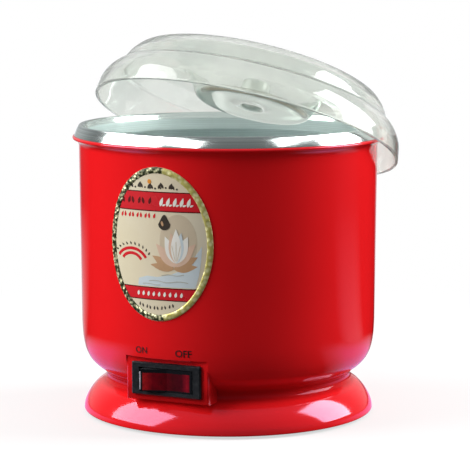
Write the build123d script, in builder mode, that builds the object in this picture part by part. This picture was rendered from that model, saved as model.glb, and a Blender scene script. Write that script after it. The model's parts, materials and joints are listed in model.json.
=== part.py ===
from build123d import *
import os
from math import cos, radians, sin, tan

# Wax warmer pot: a red moulded shell with a flared base, an aluminium wax bowl
# hung in its mouth, a plate heater clamped under the bowl, a rocker switch in
# front and a clear stepped lid that leans open on the rim.
# Origin: centre of the resting plane under the feet. +Z up, front is -Y.
# Millimetres and degrees. Name endings: _R radius, _W width, _H height or
# height above the base ring, _L length, _T thickness, _X _Y _Z a place in the frame.

os.makedirs("parts", exist_ok=True)

# ------------------------------------------------------------ driving sizes
FOOT_DROP = 1.0          # the feet stand this far below the base ring
FIT_GAP = 0.02           # hairline left between touching pieces
RUN_GAP = 0.05           # running clearance on radii

WALL_T = 2.4             # moulded wall
BODY_R_TOP = 65.0        # drafted wall, just under the lip
BODY_R_LOW = 64.25       # drafted wall, above the lower round
DRAFT_H0, DRAFT_H1 = 40.0, 115.3  # ends of the drafted wall above the base ring
NECK_R = 53.5            # tightest radius, the crease over the base ring
LIP_R = 67.8             # moulded flange at the mouth
LIP_Z = 121.25           # top of the moulded flange

RIM_Z = 126.1            # top of the rolled bowl rim
RIM_R = 67.0             # lower edge of the hanging rim band
BOWL_R = 60.4            # bowl bore below the sloped mouth
BOWL_FLOOR = 47.2        # inside floor of the bowl
BOWL_FLAT_R = 48.6       # flat part of the floor
BOWL_T = 1.2             # spun sheet thickness
BOWL_UNDER_Z = BOWL_FLOOR - BOWL_T

SCREW_R = 1.40           # 3 mm self-tapping screws
PILOT_R = 1.45
SCREW_HOLE_R = 1.7       # clearance hole
SCREW_RING_R = 46.5      # base screws
SCREW_COUNT, SCREW_START = 4, 45
CROSS_L, CROSS_W = 3.0, 0.7       # cross recess in the screw heads
FOOT_RING_R = 45.0
FOOT_COUNT = 4

CORD_R = 3.0
CORD_Z = 27.0            # cord exit height at the rear
CORD_BOSS_Y = 65.2       # flat face of the moulded cord boss


def level(z):
    """level plane at height z; extrusions rise from it"""
    return Plane.XY.offset(z)


def facing_front(y):
    """upright plane at y; positive extrusions run to the front, local y is up"""
    return Plane.XZ.offset(-y)


def up(height):
    """height above the resting plane of a height above the base ring edge"""
    return height + FOOT_DROP


def mirrored(x, y=0):
    """a place and its twin across the YZ plane"""
    return (x, y), (-x, y)


def cross_recess():
    Rectangle(CROSS_L, CROSS_W)
    Rectangle(CROSS_W, CROSS_L)


# ------------------------------------------------------------ outer body
# Wall outlines: radius, height above the base ring edge, each from low to high.
FLARE_OUT = [
    (63.5, 0.5), (63.2, 2.6), (62.5, 4.5), (61.5, 6.4),
    (60.0, 8.6), (58.0, 10.8), (56.3, 12.1), (54.9, 13.1),
]
ROUND_OUT = [
    (54.5, 17.5), (55.6, 18.7), (57.5, 20.1), (59.0, 21.4), (60.3, 22.8),
    (61.5, 24.6), (62.9, 28.0), (63.9, 33.5), (BODY_R_LOW, DRAFT_H0),
]
FLARE_IN = [
    (61.1, 0.5), (60.9, 2.2), (60.25, 3.9), (59.3, 5.6),
    (58.0, 7.3), (56.3, 9.0), (54.6, 10.3), (53.3, 11.2),
]
ROUND_IN = [
    (52.5, 18.9), (54.2, 20.8), (56.0, 22.0), (57.4, 23.2), (58.6, 24.6),
    (59.6, 26.2), (60.7, 29.2), (61.5, 34.3), (61.85, DRAFT_H0),
]

# switch housing and the switch opening in it
PAD_HALF = 19.0          # housing half width
PAD_Y = -60.0            # flat front face of the housing
PAD_DEPTH = 11.0
PAD_Z0, PAD_Z1 = 13.8, 32.6
PAD_H = PAD_Z1 - PAD_Z0
PAD_FLOOR_T = 2.2        # top and bottom walls of the housing
SWITCH_Z = 23.3          # switch centre height
CASE_W, CASE_H = 28.6, 11.8
CUT_GAP = 0.1            # the cut-out is this much larger all round

BODY_BOSS_Z = 5.25       # lower end of the base screw bosses
BRIDGE_BOSS_X = 54.5
BRIDGE_BOSS_Z0, BRIDGE_BOSS_Z1 = 27.0, 35.05
CORD_BOSS_ROOT_Y = 59.0


def outer_body():
    flare_out, round_out, flare_in, round_in = (
        [(radius, up(height)) for radius, height in outline]
        for outline in (FLARE_OUT, ROUND_OUT, FLARE_IN, ROUND_IN)
    )
    draft_top = (BODY_R_TOP, up(DRAFT_H1))
    lip_under = (67.0, up(118.7))
    lip_top = (67.2, LIP_Z)
    ring_inner = (61.1, up(0))
    with BuildPart() as body:
        # moulded wall as one turned section
        with BuildSketch(Plane.XZ):
            with BuildLine():
                Polyline(ring_inner, (63.3, up(0)), flare_out[0])
                Spline(*flare_out, tangents=[(-0.05, 1), (-1, 0.75)])
                ThreePointArc(flare_out[-1], (NECK_R, up(15.2)), round_out[0])
                Spline(*round_out, tangents=[(0.75, 1), (0.02, 1)])
                Line(round_out[-1], draft_top)
                ThreePointArc(draft_top, (65.55, up(117.5)), lip_under)
                ThreePointArc(lip_under, (LIP_R, up(119.5)), lip_top)
                Polyline(lip_top, (63.6, LIP_Z), (62.6, 119.6), round_in[-1])
                Spline(*round_in[::-1], tangents=[(-0.02, -1), (-0.75, -1)])
                ThreePointArc(round_in[0], (51.1, up(15.0)), flare_in[-1])
                Spline(*flare_in[::-1], tangents=[(1, -0.75), (0.05, -1)])
                Line(flare_in[0], ring_inner)
            make_face()
        revolve(axis=Axis.Z)
        # flat recess where the lower wall bulges past the housing face
        with BuildSketch(level(PAD_Z0)):
            with Locations((0, PAD_Y - 5)):
                Rectangle(2 * PAD_HALF, 10)
        extrude(amount=PAD_H, mode=Mode.SUBTRACT)
        # moulded switch housing bridging lower wall, neck and base ring
        with BuildSketch(level(PAD_Z0)):
            with Locations((0, PAD_Y + PAD_DEPTH / 2)):
                Rectangle(2 * PAD_HALF, PAD_DEPTH)
        extrude(amount=PAD_H)
        # hollow behind the housing face
        with BuildSketch(level(PAD_Z0 + PAD_FLOOR_T)):
            with Locations((0, PAD_Y + WALL_T + 5)):
                Rectangle(2 * (PAD_HALF - WALL_T), 10)
        extrude(amount=PAD_H - 2 * PAD_FLOOR_T, mode=Mode.SUBTRACT)
        # cut-out for the snap-in switch
        with BuildSketch(facing_front(PAD_Y - 5)):
            with Locations((0, SWITCH_Z)):
                Rectangle(CASE_W + 2 * CUT_GAP, CASE_H + 2 * CUT_GAP)
        extrude(amount=-24, mode=Mode.SUBTRACT)
        # screw bosses for the base plate, tied to the neck by ribs
        with BuildSketch(level(BODY_BOSS_Z)):
            with PolarLocations(SCREW_RING_R, SCREW_COUNT, start_angle=SCREW_START):
                Circle(3.6)
            with PolarLocations(SCREW_RING_R + 3.3, SCREW_COUNT, start_angle=SCREW_START):
                Rectangle(6.4, 3.0)
        extrude(amount=17.0)
        with BuildSketch(level(BODY_BOSS_Z)):
            with PolarLocations(SCREW_RING_R, SCREW_COUNT, start_angle=SCREW_START):
                Circle(PILOT_R)
        extrude(amount=13.0, mode=Mode.SUBTRACT)
        # two bosses that carry the support bridge, ribbed to the wall
        with BuildSketch(level(BRIDGE_BOSS_Z0)):
            with Locations(*mirrored(BRIDGE_BOSS_X)):
                Circle(4.2)
            with Locations(*mirrored(58.6)):
                Rectangle(6.8, 4.0)
        extrude(amount=BRIDGE_BOSS_Z1 - BRIDGE_BOSS_Z0)
        with BuildSketch(level(BRIDGE_BOSS_Z1)):
            with Locations(*mirrored(BRIDGE_BOSS_X)):
                Circle(PILOT_R)
        extrude(amount=-7.0, mode=Mode.SUBTRACT)
        # moulded boss with a flat face for the cord bush at the rear
        with BuildSketch(facing_front(CORD_BOSS_ROOT_Y)):
            with Locations((0, CORD_Z)):
                Circle(8.2)
        extrude(amount=-(CORD_BOSS_Y - CORD_BOSS_ROOT_Y))
        # round hole for the cord bush
        with BuildSketch(facing_front(50)):
            with Locations((0, CORD_Z)):
                Circle(4.6)
        extrude(amount=-20, mode=Mode.SUBTRACT)
    return body.part


# ------------------------------------------------------------ wax bowl
# Rolled top of the rim: radius, height, from the bore outwards.
RIM_ROLL = [
    (63.35, 124.7), (63.8, 125.6), (64.4, RIM_Z - 0.02),
    (65.0, 125.75), (65.4, 125.05), (65.9, 124.1),
]


def wax_bowl():
    wall_in, wall_out = (59.45, 58.0), (60.65, 57.9)     # just above the floor round
    floor_in = (BOWL_FLAT_R, BOWL_FLOOR)
    floor_out = (BOWL_FLAT_R, BOWL_UNDER_Z)
    with BuildPart() as bowl:
        with BuildSketch(Plane.XZ):
            with BuildLine():
                Line((0, BOWL_FLOOR), floor_in)
                ThreePointArc(floor_in, (56.2, 50.1), wall_in)
                Polyline(wall_in, (BOWL_R, 118.4), RIM_ROLL[0])
                Spline(*RIM_ROLL, tangents=[(0.45, 1), (0.4, -1)])
                # hanging band, then back down the outside
                Polyline(
                    RIM_ROLL[-1], (66.4, 122.9), (RIM_R, 121.3), (66.0, 121.3),
                    (65.35, 122.9), (64.55, 124.5), (61.65, 118.5), wall_out,
                )
                ThreePointArc(wall_out, (57.05, 49.25), floor_out)
                Polyline(floor_out, (0, BOWL_UNDER_Z), (0, BOWL_FLOOR))
            make_face()
        revolve(axis=Axis.Z)
    return bowl.part


# ------------------------------------------------------------ lid
LID_TILT = 22.2          # lean of the lid from level
LID_DIR = 77.9           # the lid's low side, degrees from +X
LID_SHIFT = 12.9         # centre of the lid's lower edge, along LID_DIR
LID_Z = 122.3

# Lid outlines: radius, height above the lid's lower edge.
LID_SKIRT_OUT = [
    (68.3, 0.4), (67.85, 4.0), (67.35, 6.8), (66.4, 9.3),
    (65.0, 11.6), (63.3, 13.6), (61.5, 15.2),
]
LID_DOME_OUT = [
    (60.2, 15.75), (59.5, 17.4), (57.6, 21.0), (54.4, 24.5), (50.4, 26.4), (45.5, 26.95),
    (40.5, 26.75), (36.0, 26.0), (32.2, 24.7), (29.6, 22.6), (28.0, 19.8),
]
LID_DOME_IN = [
    (29.9, 18.8), (31.1, 21.1), (33.0, 22.8), (36.4, 24.0), (40.7, 24.75), (45.4, 24.95),
    (49.9, 24.4), (53.4, 22.7), (56.1, 19.9), (57.7, 16.9), (58.4, 15.2),
]
LID_SKIRT_IN = [
    (60.7, 13.6), (62.2, 12.1), (63.8, 10.2), (65.0, 8.2),
    (65.85, 6.1), (66.45, 3.4), (66.95, 0),
]


def lid():
    # the section is drawn in a plane through the lid's tilted axis
    toward = Vector(cos(radians(LID_DIR)), sin(radians(LID_DIR)), 0)
    tilt = radians(LID_TILT)
    lid_axis = toward * sin(tilt) + Vector(0, 0, cos(tilt))
    lid_down = toward * cos(tilt) - Vector(0, 0, sin(tilt))
    lid_origin = toward * LID_SHIFT + Vector(0, 0, LID_Z)
    section = Plane(origin=lid_origin, x_dir=lid_down, z_dir=lid_down.cross(lid_axis))
    with BuildPart() as cover:
        with BuildSketch(section):
            with BuildLine():
                # outside, from the lower edge to the knob
                Polyline(LID_SKIRT_IN[-1], (68.0, 0), LID_SKIRT_OUT[0])
                Spline(*LID_SKIRT_OUT, tangents=[(-0.08, 1), (-1, 0.8)])
                Line(LID_SKIRT_OUT[-1], LID_DOME_OUT[0])
                Spline(*LID_DOME_OUT, tangents=[(-0.35, 1), (-0.5, -1)])
                Line(LID_DOME_OUT[-1], (24.9, 14.2))
                ThreePointArc((24.9, 14.2), (24.0, 12.7), (22.3, 12.1))
                Line((22.3, 12.1), (9.6, 12.1))
                ThreePointArc((9.6, 12.1), (7.6, 13.0), (6.8, 15.0))
                Line((6.8, 15.0), (6.2, 24.6))
                ThreePointArc((6.2, 24.6), (5.5, 25.9), (4.1, 26.3))
                # inside, from the hollow knob back to the lower edge
                Polyline((4.1, 26.3), (0, 26.3), (0, 24.3), (3.9, 24.1), (4.7, 11.6))
                ThreePointArc((4.7, 11.6), (5.2, 10.5), (6.3, 10.1))
                Line((6.3, 10.1), (22.9, 10.1))
                ThreePointArc((22.9, 10.1), (25.3, 11.0), (26.8, 13.2))
                Line((26.8, 13.2), LID_DOME_IN[0])
                Spline(*LID_DOME_IN, tangents=[(0.5, 1), (0.35, -1)])
                Polyline(LID_DOME_IN[-1], (59.5, 14.15), LID_SKIRT_IN[0])
                Spline(*LID_SKIRT_IN, tangents=[(1, -1), (0.1, -1)])
            make_face()
        revolve(axis=Axis(lid_origin, lid_axis))
    return cover.part


# ------------------------------------------------------------ oval label
LABEL_W, LABEL_H = 47.5, 64.2
LABEL_T = 0.3
LABEL_Z = 80.9
LABEL_TURN = -1.7        # degrees about Z from the front, towards -X


def front_label():
    """a sticker that follows the drafted wall"""
    low_r, top_r = BODY_R_LOW + FIT_GAP, BODY_R_TOP + FIT_GAP
    low_z, top_z = up(DRAFT_H0), up(DRAFT_H1)
    with BuildPart() as label:
        with BuildSketch(Plane.XZ):
            with BuildLine():
                Polyline(
                    (low_r, low_z), (top_r, top_z), (top_r + LABEL_T, top_z),
                    (low_r + LABEL_T, low_z), close=True,
                )
            make_face()
        revolve(axis=Axis.Z)
        with BuildSketch(Plane.XZ.rotated((0, 0, LABEL_TURN)).offset(20)):
            with Locations((0, LABEL_Z)):
                Ellipse(LABEL_W / 2, LABEL_H / 2)
        extrude(amount=60, mode=Mode.INTERSECT)
    return label.part


# ------------------------------------------------------------ base plate, screws, feet
PLATE_Z, PLATE_T = 3.2, 2.0
PLATE_TOP_Z = PLATE_Z + PLATE_T
HEAD_Z = PLATE_Z + FIT_GAP        # underside of the sunk screw heads


def base_plate():
    with BuildPart() as plate:
        with BuildSketch(level(PLATE_Z)):
            Circle(59.5)
        extrude(amount=PLATE_T)
        # stiffening ring on the inside
        with BuildSketch(level(PLATE_TOP_Z)):
            Circle(38.0)
            Circle(36.4, mode=Mode.SUBTRACT)
        extrude(amount=2.4)
        # screw holes with countersinks from below
        with BuildSketch(level(PLATE_Z)):
            with PolarLocations(SCREW_RING_R, SCREW_COUNT, start_angle=SCREW_START):
                Circle(SCREW_HOLE_R)
        extrude(amount=PLATE_T, mode=Mode.SUBTRACT)
        with Locations(level(PLATE_Z)):
            with PolarLocations(SCREW_RING_R, SCREW_COUNT, start_angle=SCREW_START):
                Cone(3.2, SCREW_HOLE_R, 1.4, align=(Align.CENTER, Align.CENTER, Align.MIN),
                     mode=Mode.SUBTRACT)
        # holes for the push-in feet
        with BuildSketch(level(PLATE_Z)):
            with PolarLocations(FOOT_RING_R, FOOT_COUNT, start_angle=0):
                Circle(2.05)
        extrude(amount=PLATE_T, mode=Mode.SUBTRACT)
        # cooling slots
        with BuildSketch(level(PLATE_Z)):
            with PolarLocations(24.0, 12, start_angle=15):
                SlotOverall(14.0, 3.0)
        extrude(amount=PLATE_T, mode=Mode.SUBTRACT)
    return plate.part


def base_screws():
    with BuildPart() as screws:
        with BuildSketch(level(3.25)):
            with PolarLocations(SCREW_RING_R, SCREW_COUNT, start_angle=SCREW_START):
                Circle(SCREW_R)
        extrude(amount=13.5)
        with Locations(level(HEAD_Z)):
            with PolarLocations(SCREW_RING_R, SCREW_COUNT, start_angle=SCREW_START):
                Cone(3.0, SCREW_R, 1.45, align=(Align.CENTER, Align.CENTER, Align.MIN))
        with BuildSketch(level(HEAD_Z)):
            with PolarLocations(SCREW_RING_R, SCREW_COUNT, start_angle=SCREW_START):
                cross_recess()
        extrude(amount=0.9, mode=Mode.SUBTRACT)
    return screws.part


def rubber_feet():
    # pad below the plate, neck through it, tapered head above it
    pad_top = PLATE_Z - FIT_GAP
    head_z = PLATE_TOP_Z + FIT_GAP
    with BuildPart() as feet:
        for z, radius, height, taper in (
            (0, 6.5, pad_top, 0),
            (pad_top, 2.0, head_z - pad_top, 0),
            (head_z, 2.9, 2.2, 25),
        ):
            with BuildSketch(level(z)):
                with PolarLocations(FOOT_RING_R, FOOT_COUNT, start_angle=0):
                    Circle(radius)
            extrude(amount=height, taper=taper)
    return feet.part


# ------------------------------------------------------------ heater stack under the bowl
STUD_R = 2.95            # M6 weld stud
STUD_END_Z = 26.5
STUD_HOLE_R = 3.2        # hole round the stud in bridge and shield
ELEMENT_Z, ELEMENT_T = 44.35, 1.1
TAIL_END_Z = 31.0
TAIL_ANGLES = (206.25, 333.75)    # element tails, degrees from +X
TAIL_R = 36.2
CLAMP_Z = 42.34
NUT_H = 4.8
NUTS_Z = (37.52, 29.0)   # the upper clamps the heater, the lower pulls the bowl to the bridge
BRIDGE_Z, BRIDGE_T = 35.1, 1.5
SHIELD_Z0, SHIELD_Z1 = 36.65, 37.45
THERMO_Y = 43.0
FUSE_Y, FUSE_Z = -20.0, 39.9
THERMO_HOLE_R = 9.6      # clearance round the thermostat cap

# Flat discs with a middle hole: lower face height, radius, hole radius, thickness.
DISCS = {
    "upper_mica": (45.5, 34.0, 3.1, 0.46),
    "lower_mica": (43.86, 34.0, 3.1, 0.46),
    "stud_washer": (33.85, 6.0, STUD_HOLE_R, 1.2),
}


def disc(z, radius, hole_radius, thickness):
    with BuildPart() as ring:
        with BuildSketch(level(z)):
            Circle(radius)
            Circle(hole_radius, mode=Mode.SUBTRACT)
        extrude(amount=thickness)
    return ring.part


def tail_spots(radius):
    return [
        Location((cos(radians(angle)) * radius, sin(radians(angle)) * radius), angle)
        for angle in TAIL_ANGLES
    ]


def heater_stud():
    with BuildPart() as stud:
        with BuildSketch(level(STUD_END_Z)):
            Circle(STUD_R)
        extrude(amount=BOWL_UNDER_Z - STUD_END_Z - FIT_GAP)
        chamfer(stud.faces().sort_by(Axis.Z)[0].edges(), 0.6)
    return stud.part


def heating_element():
    with BuildPart() as element:
        # resistance strip laid in a meander: a ring slit alternately from both sides
        with BuildSketch(level(ELEMENT_Z)):
            Circle(33.0)
            Circle(11.0, mode=Mode.SUBTRACT)
            with PolarLocations(19.5, 24, start_angle=0):
                Rectangle(20.0, 1.0, mode=Mode.SUBTRACT)
            with PolarLocations(24.0, 24, start_angle=7.5):
                Rectangle(20.2, 1.0, mode=Mode.SUBTRACT)
        extrude(amount=ELEMENT_T)
        # two tails turned down past the clamp plate
        with BuildSketch(level(ELEMENT_Z)):
            with Locations(*tail_spots(34.4)):
                Rectangle(4.4, 2.6)
        extrude(amount=ELEMENT_T)
        with BuildSketch(level(TAIL_END_Z)):
            with Locations(*tail_spots(TAIL_R)):
                Rectangle(0.8, 4.0)
        extrude(amount=ELEMENT_Z + ELEMENT_T - TAIL_END_Z)
    return element.part


def clamp_plate():
    with BuildPart() as plate:
        with BuildSketch(level(CLAMP_Z)):
            Circle(33.5)
            Circle(3.15, mode=Mode.SUBTRACT)
        extrude(amount=1.5)
        # pressed stiffening ring on the underside
        with BuildSketch(level(CLAMP_Z - 1.0)):
            Circle(31.0)
            Circle(29.4, mode=Mode.SUBTRACT)
        extrude(amount=1.0)
    return plate.part


def heater_nuts():
    with BuildPart() as nuts:
        for z in NUTS_Z:
            with BuildSketch(level(z)):
                RegularPolygon(5.0, 6, major_radius=False)
                Circle(3.0, mode=Mode.SUBTRACT)
            extrude(amount=NUT_H)
    return nuts.part


def heat_shield():
    with BuildPart() as shield:
        # bright tray that throws heat back up, with a turned-down edge
        with BuildSketch(Plane.XZ):
            with BuildLine():
                Polyline(
                    (STUD_HOLE_R, SHIELD_Z0), (53.2, SHIELD_Z0), (54.4, 31.6), (55.2, 31.6),
                    (53.9, SHIELD_Z1), (STUD_HOLE_R, SHIELD_Z1), close=True,
                )
            make_face()
        revolve(axis=Axis.Z)
        with BuildSketch(level(30.0)):
            with Locations((0, THERMO_Y)):
                Circle(THERMO_HOLE_R)
            with Locations(*tail_spots(TAIL_R)):
                Rectangle(4.0, 7.5)
            # notches that clear the bridge bosses
            with Locations(*mirrored(BRIDGE_BOSS_X)):
                Rectangle(14.0, 12.0)
            # notch in the rear edge
            with Locations((0, 56.0)):
                Rectangle(26.0, 12.0)
            # holes for the two fuse wires
            with Locations((FUSE_RIGHT_X, FUSE_Y), (FUSE_LEFT_X, FUSE_Y)):
                Circle(2.6)
            # window for the switch wires
            with Locations((0, -52.0)):
                Rectangle(44.0, 16.0)
        extrude(amount=9.0, mode=Mode.SUBTRACT)
    return shield.part


def support_bridge():
    """steel strip across the shell; the stud nut draws the bowl down onto it"""
    with BuildPart() as bridge:
        with BuildSketch(level(BRIDGE_Z)):
            Rectangle(118.0, 11.0)
            Circle(STUD_HOLE_R, mode=Mode.SUBTRACT)
            with Locations(*mirrored(BRIDGE_BOSS_X)):
                Circle(SCREW_HOLE_R, mode=Mode.SUBTRACT)
        extrude(amount=BRIDGE_T)
    return bridge.part


def bridge_screws():
    head_z, head_h = BRIDGE_Z + BRIDGE_T + 0.05, 1.9
    with BuildPart() as screws:
        with BuildSketch(level(28.8)):
            with Locations(*mirrored(BRIDGE_BOSS_X)):
                Circle(SCREW_R)
        extrude(amount=7.9)
        with BuildSketch(level(head_z)):
            with Locations(*mirrored(BRIDGE_BOSS_X)):
                Circle(2.8)
        extrude(amount=head_h, taper=15)
        with BuildSketch(level(head_z + head_h)):
            with Locations(*mirrored(BRIDGE_BOSS_X)):
                cross_recess()
        extrude(amount=-1.0, mode=Mode.SUBTRACT)
    return screws.part


# ------------------------------------------------------------ thermostat and fuse
THERMO_TAB_X = 4.0
THERMO_TAB_Z = 22.5      # lower ends of the tabs
THERMO_BODY_Z = 31.0
THERMO_CAP_Z = 41.0
THERMO_STUD_X = 14.0


def thermostat():
    """snap-disc thermostat: metal cap up against the bowl, ceramic body, two tabs"""
    with BuildPart() as control:
        with BuildSketch(level(THERMO_CAP_Z)):
            with Locations((0, THERMO_Y)):
                Circle(8.2)
        extrude(amount=4.9)
        with BuildSketch(level(THERMO_BODY_Z)):
            with Locations((0, THERMO_Y)):
                Circle(7.3)
        extrude(amount=THERMO_CAP_Z - THERMO_BODY_Z)
        with BuildSketch(level(THERMO_TAB_Z)):
            with Locations(*mirrored(THERMO_TAB_X, THERMO_Y)):
                Rectangle(0.8, 4.8)
        extrude(amount=THERMO_BODY_Z - THERMO_TAB_Z)
    return control.part


def thermostat_bracket():
    with BuildPart() as bracket:
        with BuildSketch(level(40.14)):
            with Locations((0, THERMO_Y)):
                SlotCenterToCenter(2 * THERMO_STUD_X, 8.0)
                Circle(9.6)
                Circle(7.4, mode=Mode.SUBTRACT)
            with Locations(*mirrored(THERMO_STUD_X, THERMO_Y)):
                Circle(1.6, mode=Mode.SUBTRACT)
        extrude(amount=0.8)
    return bracket.part


def thermostat_studs():
    stud_z = 37.6
    with BuildPart() as studs:
        with BuildSketch(level(stud_z)):
            with Locations(*mirrored(THERMO_STUD_X, THERMO_Y)):
                Circle(1.45)
        extrude(amount=BOWL_UNDER_Z - FIT_GAP - stud_z)
    return studs.part


def thermostat_nuts():
    with BuildPart() as nuts:
        with BuildSketch(level(37.7)):
            with Locations(*mirrored(THERMO_STUD_X, THERMO_Y)):
                RegularPolygon(2.75, 6, major_radius=False)
                Circle(1.5, mode=Mode.SUBTRACT)
        extrude(amount=2.4)
    return nuts.part


def thermal_fuse():
    # the barrel, then its two leads as one rod through it
    with BuildPart() as fuse:
        for radius, half_length in ((1.9, 5.5), (0.5, 13.0)):
            with BuildSketch(Plane.YZ.offset(-half_length)):
                with Locations((FUSE_Y, FUSE_Z)):
                    Circle(radius)
            extrude(amount=2 * half_length)
    return fuse.part


def fuse_clip():
    """spring saddle: its two ears lie against the clamp plate"""
    half_width = 2.5
    with BuildPart() as clip:
        with BuildSketch(Plane.YZ.offset(-half_width)):
            with Locations((FUSE_Y, FUSE_Z)):
                Circle(2.38)
                Circle(1.95, mode=Mode.SUBTRACT)
            with Locations((FUSE_Y, FUSE_Z + 1.9)):
                Rectangle(3.0, 1.6, mode=Mode.SUBTRACT)
            with Locations((FUSE_Y - 3.6, FUSE_Z + 2.2), (FUSE_Y + 3.6, FUSE_Z + 2.2)):
                Rectangle(4.2, 0.44)
            with Locations((FUSE_Y - 2.17, FUSE_Z + 1.3), (FUSE_Y + 2.17, FUSE_Z + 1.3)):
                Rectangle(0.42, 2.2)
        extrude(amount=2 * half_width)
    return clip.part


# ------------------------------------------------------------ rocker switch
BEZEL_W, BEZEL_H, BEZEL_T = 32.0, 14.0, 1.6
WINDOW_W, WINDOW_H = 25.0, 9.8
CASE_BACK_Y = -45.0
ROCKER_Y = -57.17        # rocker pivot
ROCKER_HALF_SWING = 9.0  # degrees each side of the middle
ROCKER_H = 9.4
TRUNNION_R = 1.5
TRUNNION_L = 11.4
LEVER_Y = -49.4          # see-saw contact pivot
LEVER_HALF_SWING = 4.5
LEVER_H = 4.0
LEVER_PIN_R, LEVER_PIN_L = 0.5, 6.4
LIVE_TAB_X, LOAD_TAB_X = -9.5, 7.0
TAB_SPOTS = [(x, SWITCH_Z) for x in (LIVE_TAB_X, 0, LOAD_TAB_X)]

# Right half of the rocker in plan about its pivot, at mid swing: x, y,
# from the middle of the front face round to the side of the nose.
ROCKER_HALF = [
    (0, -4.69), (11.42, -6.5), (10.7, -1.5), (9.5, -1.5), (8.2, -3.2),
    (3.0, -2.6), (2.3, 0.0), (1.1, 2.2), (1.1, 6.0),
]
ROCKER_NOSE = (0, 7.1)


def turned_plane(y, z, angle):
    """level plane on the YZ plane, turned about the vertical"""
    x_dir = (cos(radians(angle)), sin(radians(angle)), 0)
    return Plane(origin=(0, y, z), x_dir=x_dir, z_dir=(0, 0, 1))


def switch_case():
    with BuildPart() as case:
        # snap-in case
        with BuildSketch(facing_front(CASE_BACK_Y)):
            with Locations((0, SWITCH_Z)):
                Rectangle(CASE_W, CASE_H)
        extrude(amount=CASE_BACK_Y - PAD_Y)
        # bezel plate that rests on the housing face
        with BuildSketch(facing_front(PAD_Y - FIT_GAP)):
            with Locations((0, SWITCH_Z)):
                RectangleRounded(BEZEL_W, BEZEL_H, 0.7)
        extrude(amount=BEZEL_T - FIT_GAP)
        chamfer(case.faces().sort_by(Axis.Y)[0].edges(), 0.5)
        # link between bezel and case
        with BuildSketch(facing_front(PAD_Y + 0.5)):
            with Locations((0, SWITCH_Z)):
                Rectangle(CASE_W - 0.4, CASE_H - 0.4)
        extrude(amount=1.0)
        # window and cavity
        with BuildSketch(facing_front(PAD_Y - BEZEL_T)):
            with Locations((0, SWITCH_Z)):
                Rectangle(WINDOW_W, WINDOW_H)
        extrude(amount=-(BEZEL_T + 13.8), mode=Mode.SUBTRACT)
        # trunnion bearings in the long walls
        with BuildSketch(level(SWITCH_Z - 8)):
            with Locations((0, ROCKER_Y)):
                Circle(TRUNNION_R + RUN_GAP)
        extrude(amount=16, mode=Mode.SUBTRACT)
        # slots for the three tabs
        with BuildSketch(facing_front(CASE_BACK_Y - 2)):
            with Locations(*TAB_SPOTS):
                Rectangle(0.9, 4.9)
        extrude(amount=-4, mode=Mode.SUBTRACT)
    return case.part


def switch_rocker():
    """rocker turned to OFF about its pivot"""
    left_half = [(-x, y) for x, y in reversed(ROCKER_HALF)]
    with BuildPart() as rocker:
        with BuildSketch(turned_plane(ROCKER_Y, SWITCH_Z - ROCKER_H / 2, ROCKER_HALF_SWING)):
            with BuildLine():
                Polyline(*ROCKER_HALF)
                ThreePointArc(ROCKER_HALF[-1], ROCKER_NOSE, left_half[0])
                Polyline(*left_half)
            make_face()
        extrude(amount=ROCKER_H)
        # trunnions
        with BuildSketch(level(SWITCH_Z - TRUNNION_L / 2)):
            with Locations((0, ROCKER_Y)):
                Circle(TRUNNION_R)
        extrude(amount=TRUNNION_L)
    return rocker.part


def switch_contact_lever():
    """see-saw contact strip tipped to OFF, with its contact bead and pivot pin"""
    with BuildPart() as lever:
        with BuildSketch(turned_plane(LEVER_Y, SWITCH_Z - LEVER_H / 2, -LEVER_HALF_SWING)):
            Rectangle(14.0, 0.6)
            with Locations((6.2, 0.4)):
                Circle(0.45)
        extrude(amount=LEVER_H)
        with BuildSketch(level(SWITCH_Z - LEVER_PIN_L / 2)):
            with Locations((0, LEVER_Y)):
                Circle(LEVER_PIN_R)
        extrude(amount=LEVER_PIN_L)
    return lever.part


def switch_terminals():
    with BuildPart() as terminals:
        # three tabs through the case floor; the middle one carries the lever's ears
        with BuildSketch(facing_front(CASE_BACK_Y - 1.6)):
            with Locations(*TAB_SPOTS):
                Rectangle(0.8, 4.8)
        extrude(amount=-10.6)
        # fixed contact behind the lever's right end
        with BuildSketch(facing_front(CASE_BACK_Y - 1.3)):
            with Locations((6.4, SWITCH_Z)):
                Rectangle(3.0, 4.0)
        extrude(amount=0.9)
        # cross piece, then the lower and upper ears
        with BuildSketch(facing_front(CASE_BACK_Y - 1.3)):
            with Locations((0, SWITCH_Z)):
                Rectangle(3.2, 7.0)
        extrude(amount=0.6)
        for ear_z in (SWITCH_Z - 3.3, SWITCH_Z + 2.5):
            with BuildSketch(level(ear_z)):
                with Locations((0, LEVER_Y + 1.35)):
                    Rectangle(3.2, 3.3)
                with Locations((0, LEVER_Y)):
                    Circle(LEVER_PIN_R + RUN_GAP, mode=Mode.SUBTRACT)
            extrude(amount=0.8)
    return terminals.part


def switch_lamp():
    """small neon tube behind the rocker's right half"""
    length = 7.2
    with BuildPart() as lamp:
        with BuildSketch(level(SWITCH_Z - length / 2)):
            with Locations((7.6, -53.2)):
                Circle(1.4)
        extrude(amount=length)
        fillet(lamp.edges(), 0.6)
    return lamp.part


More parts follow.
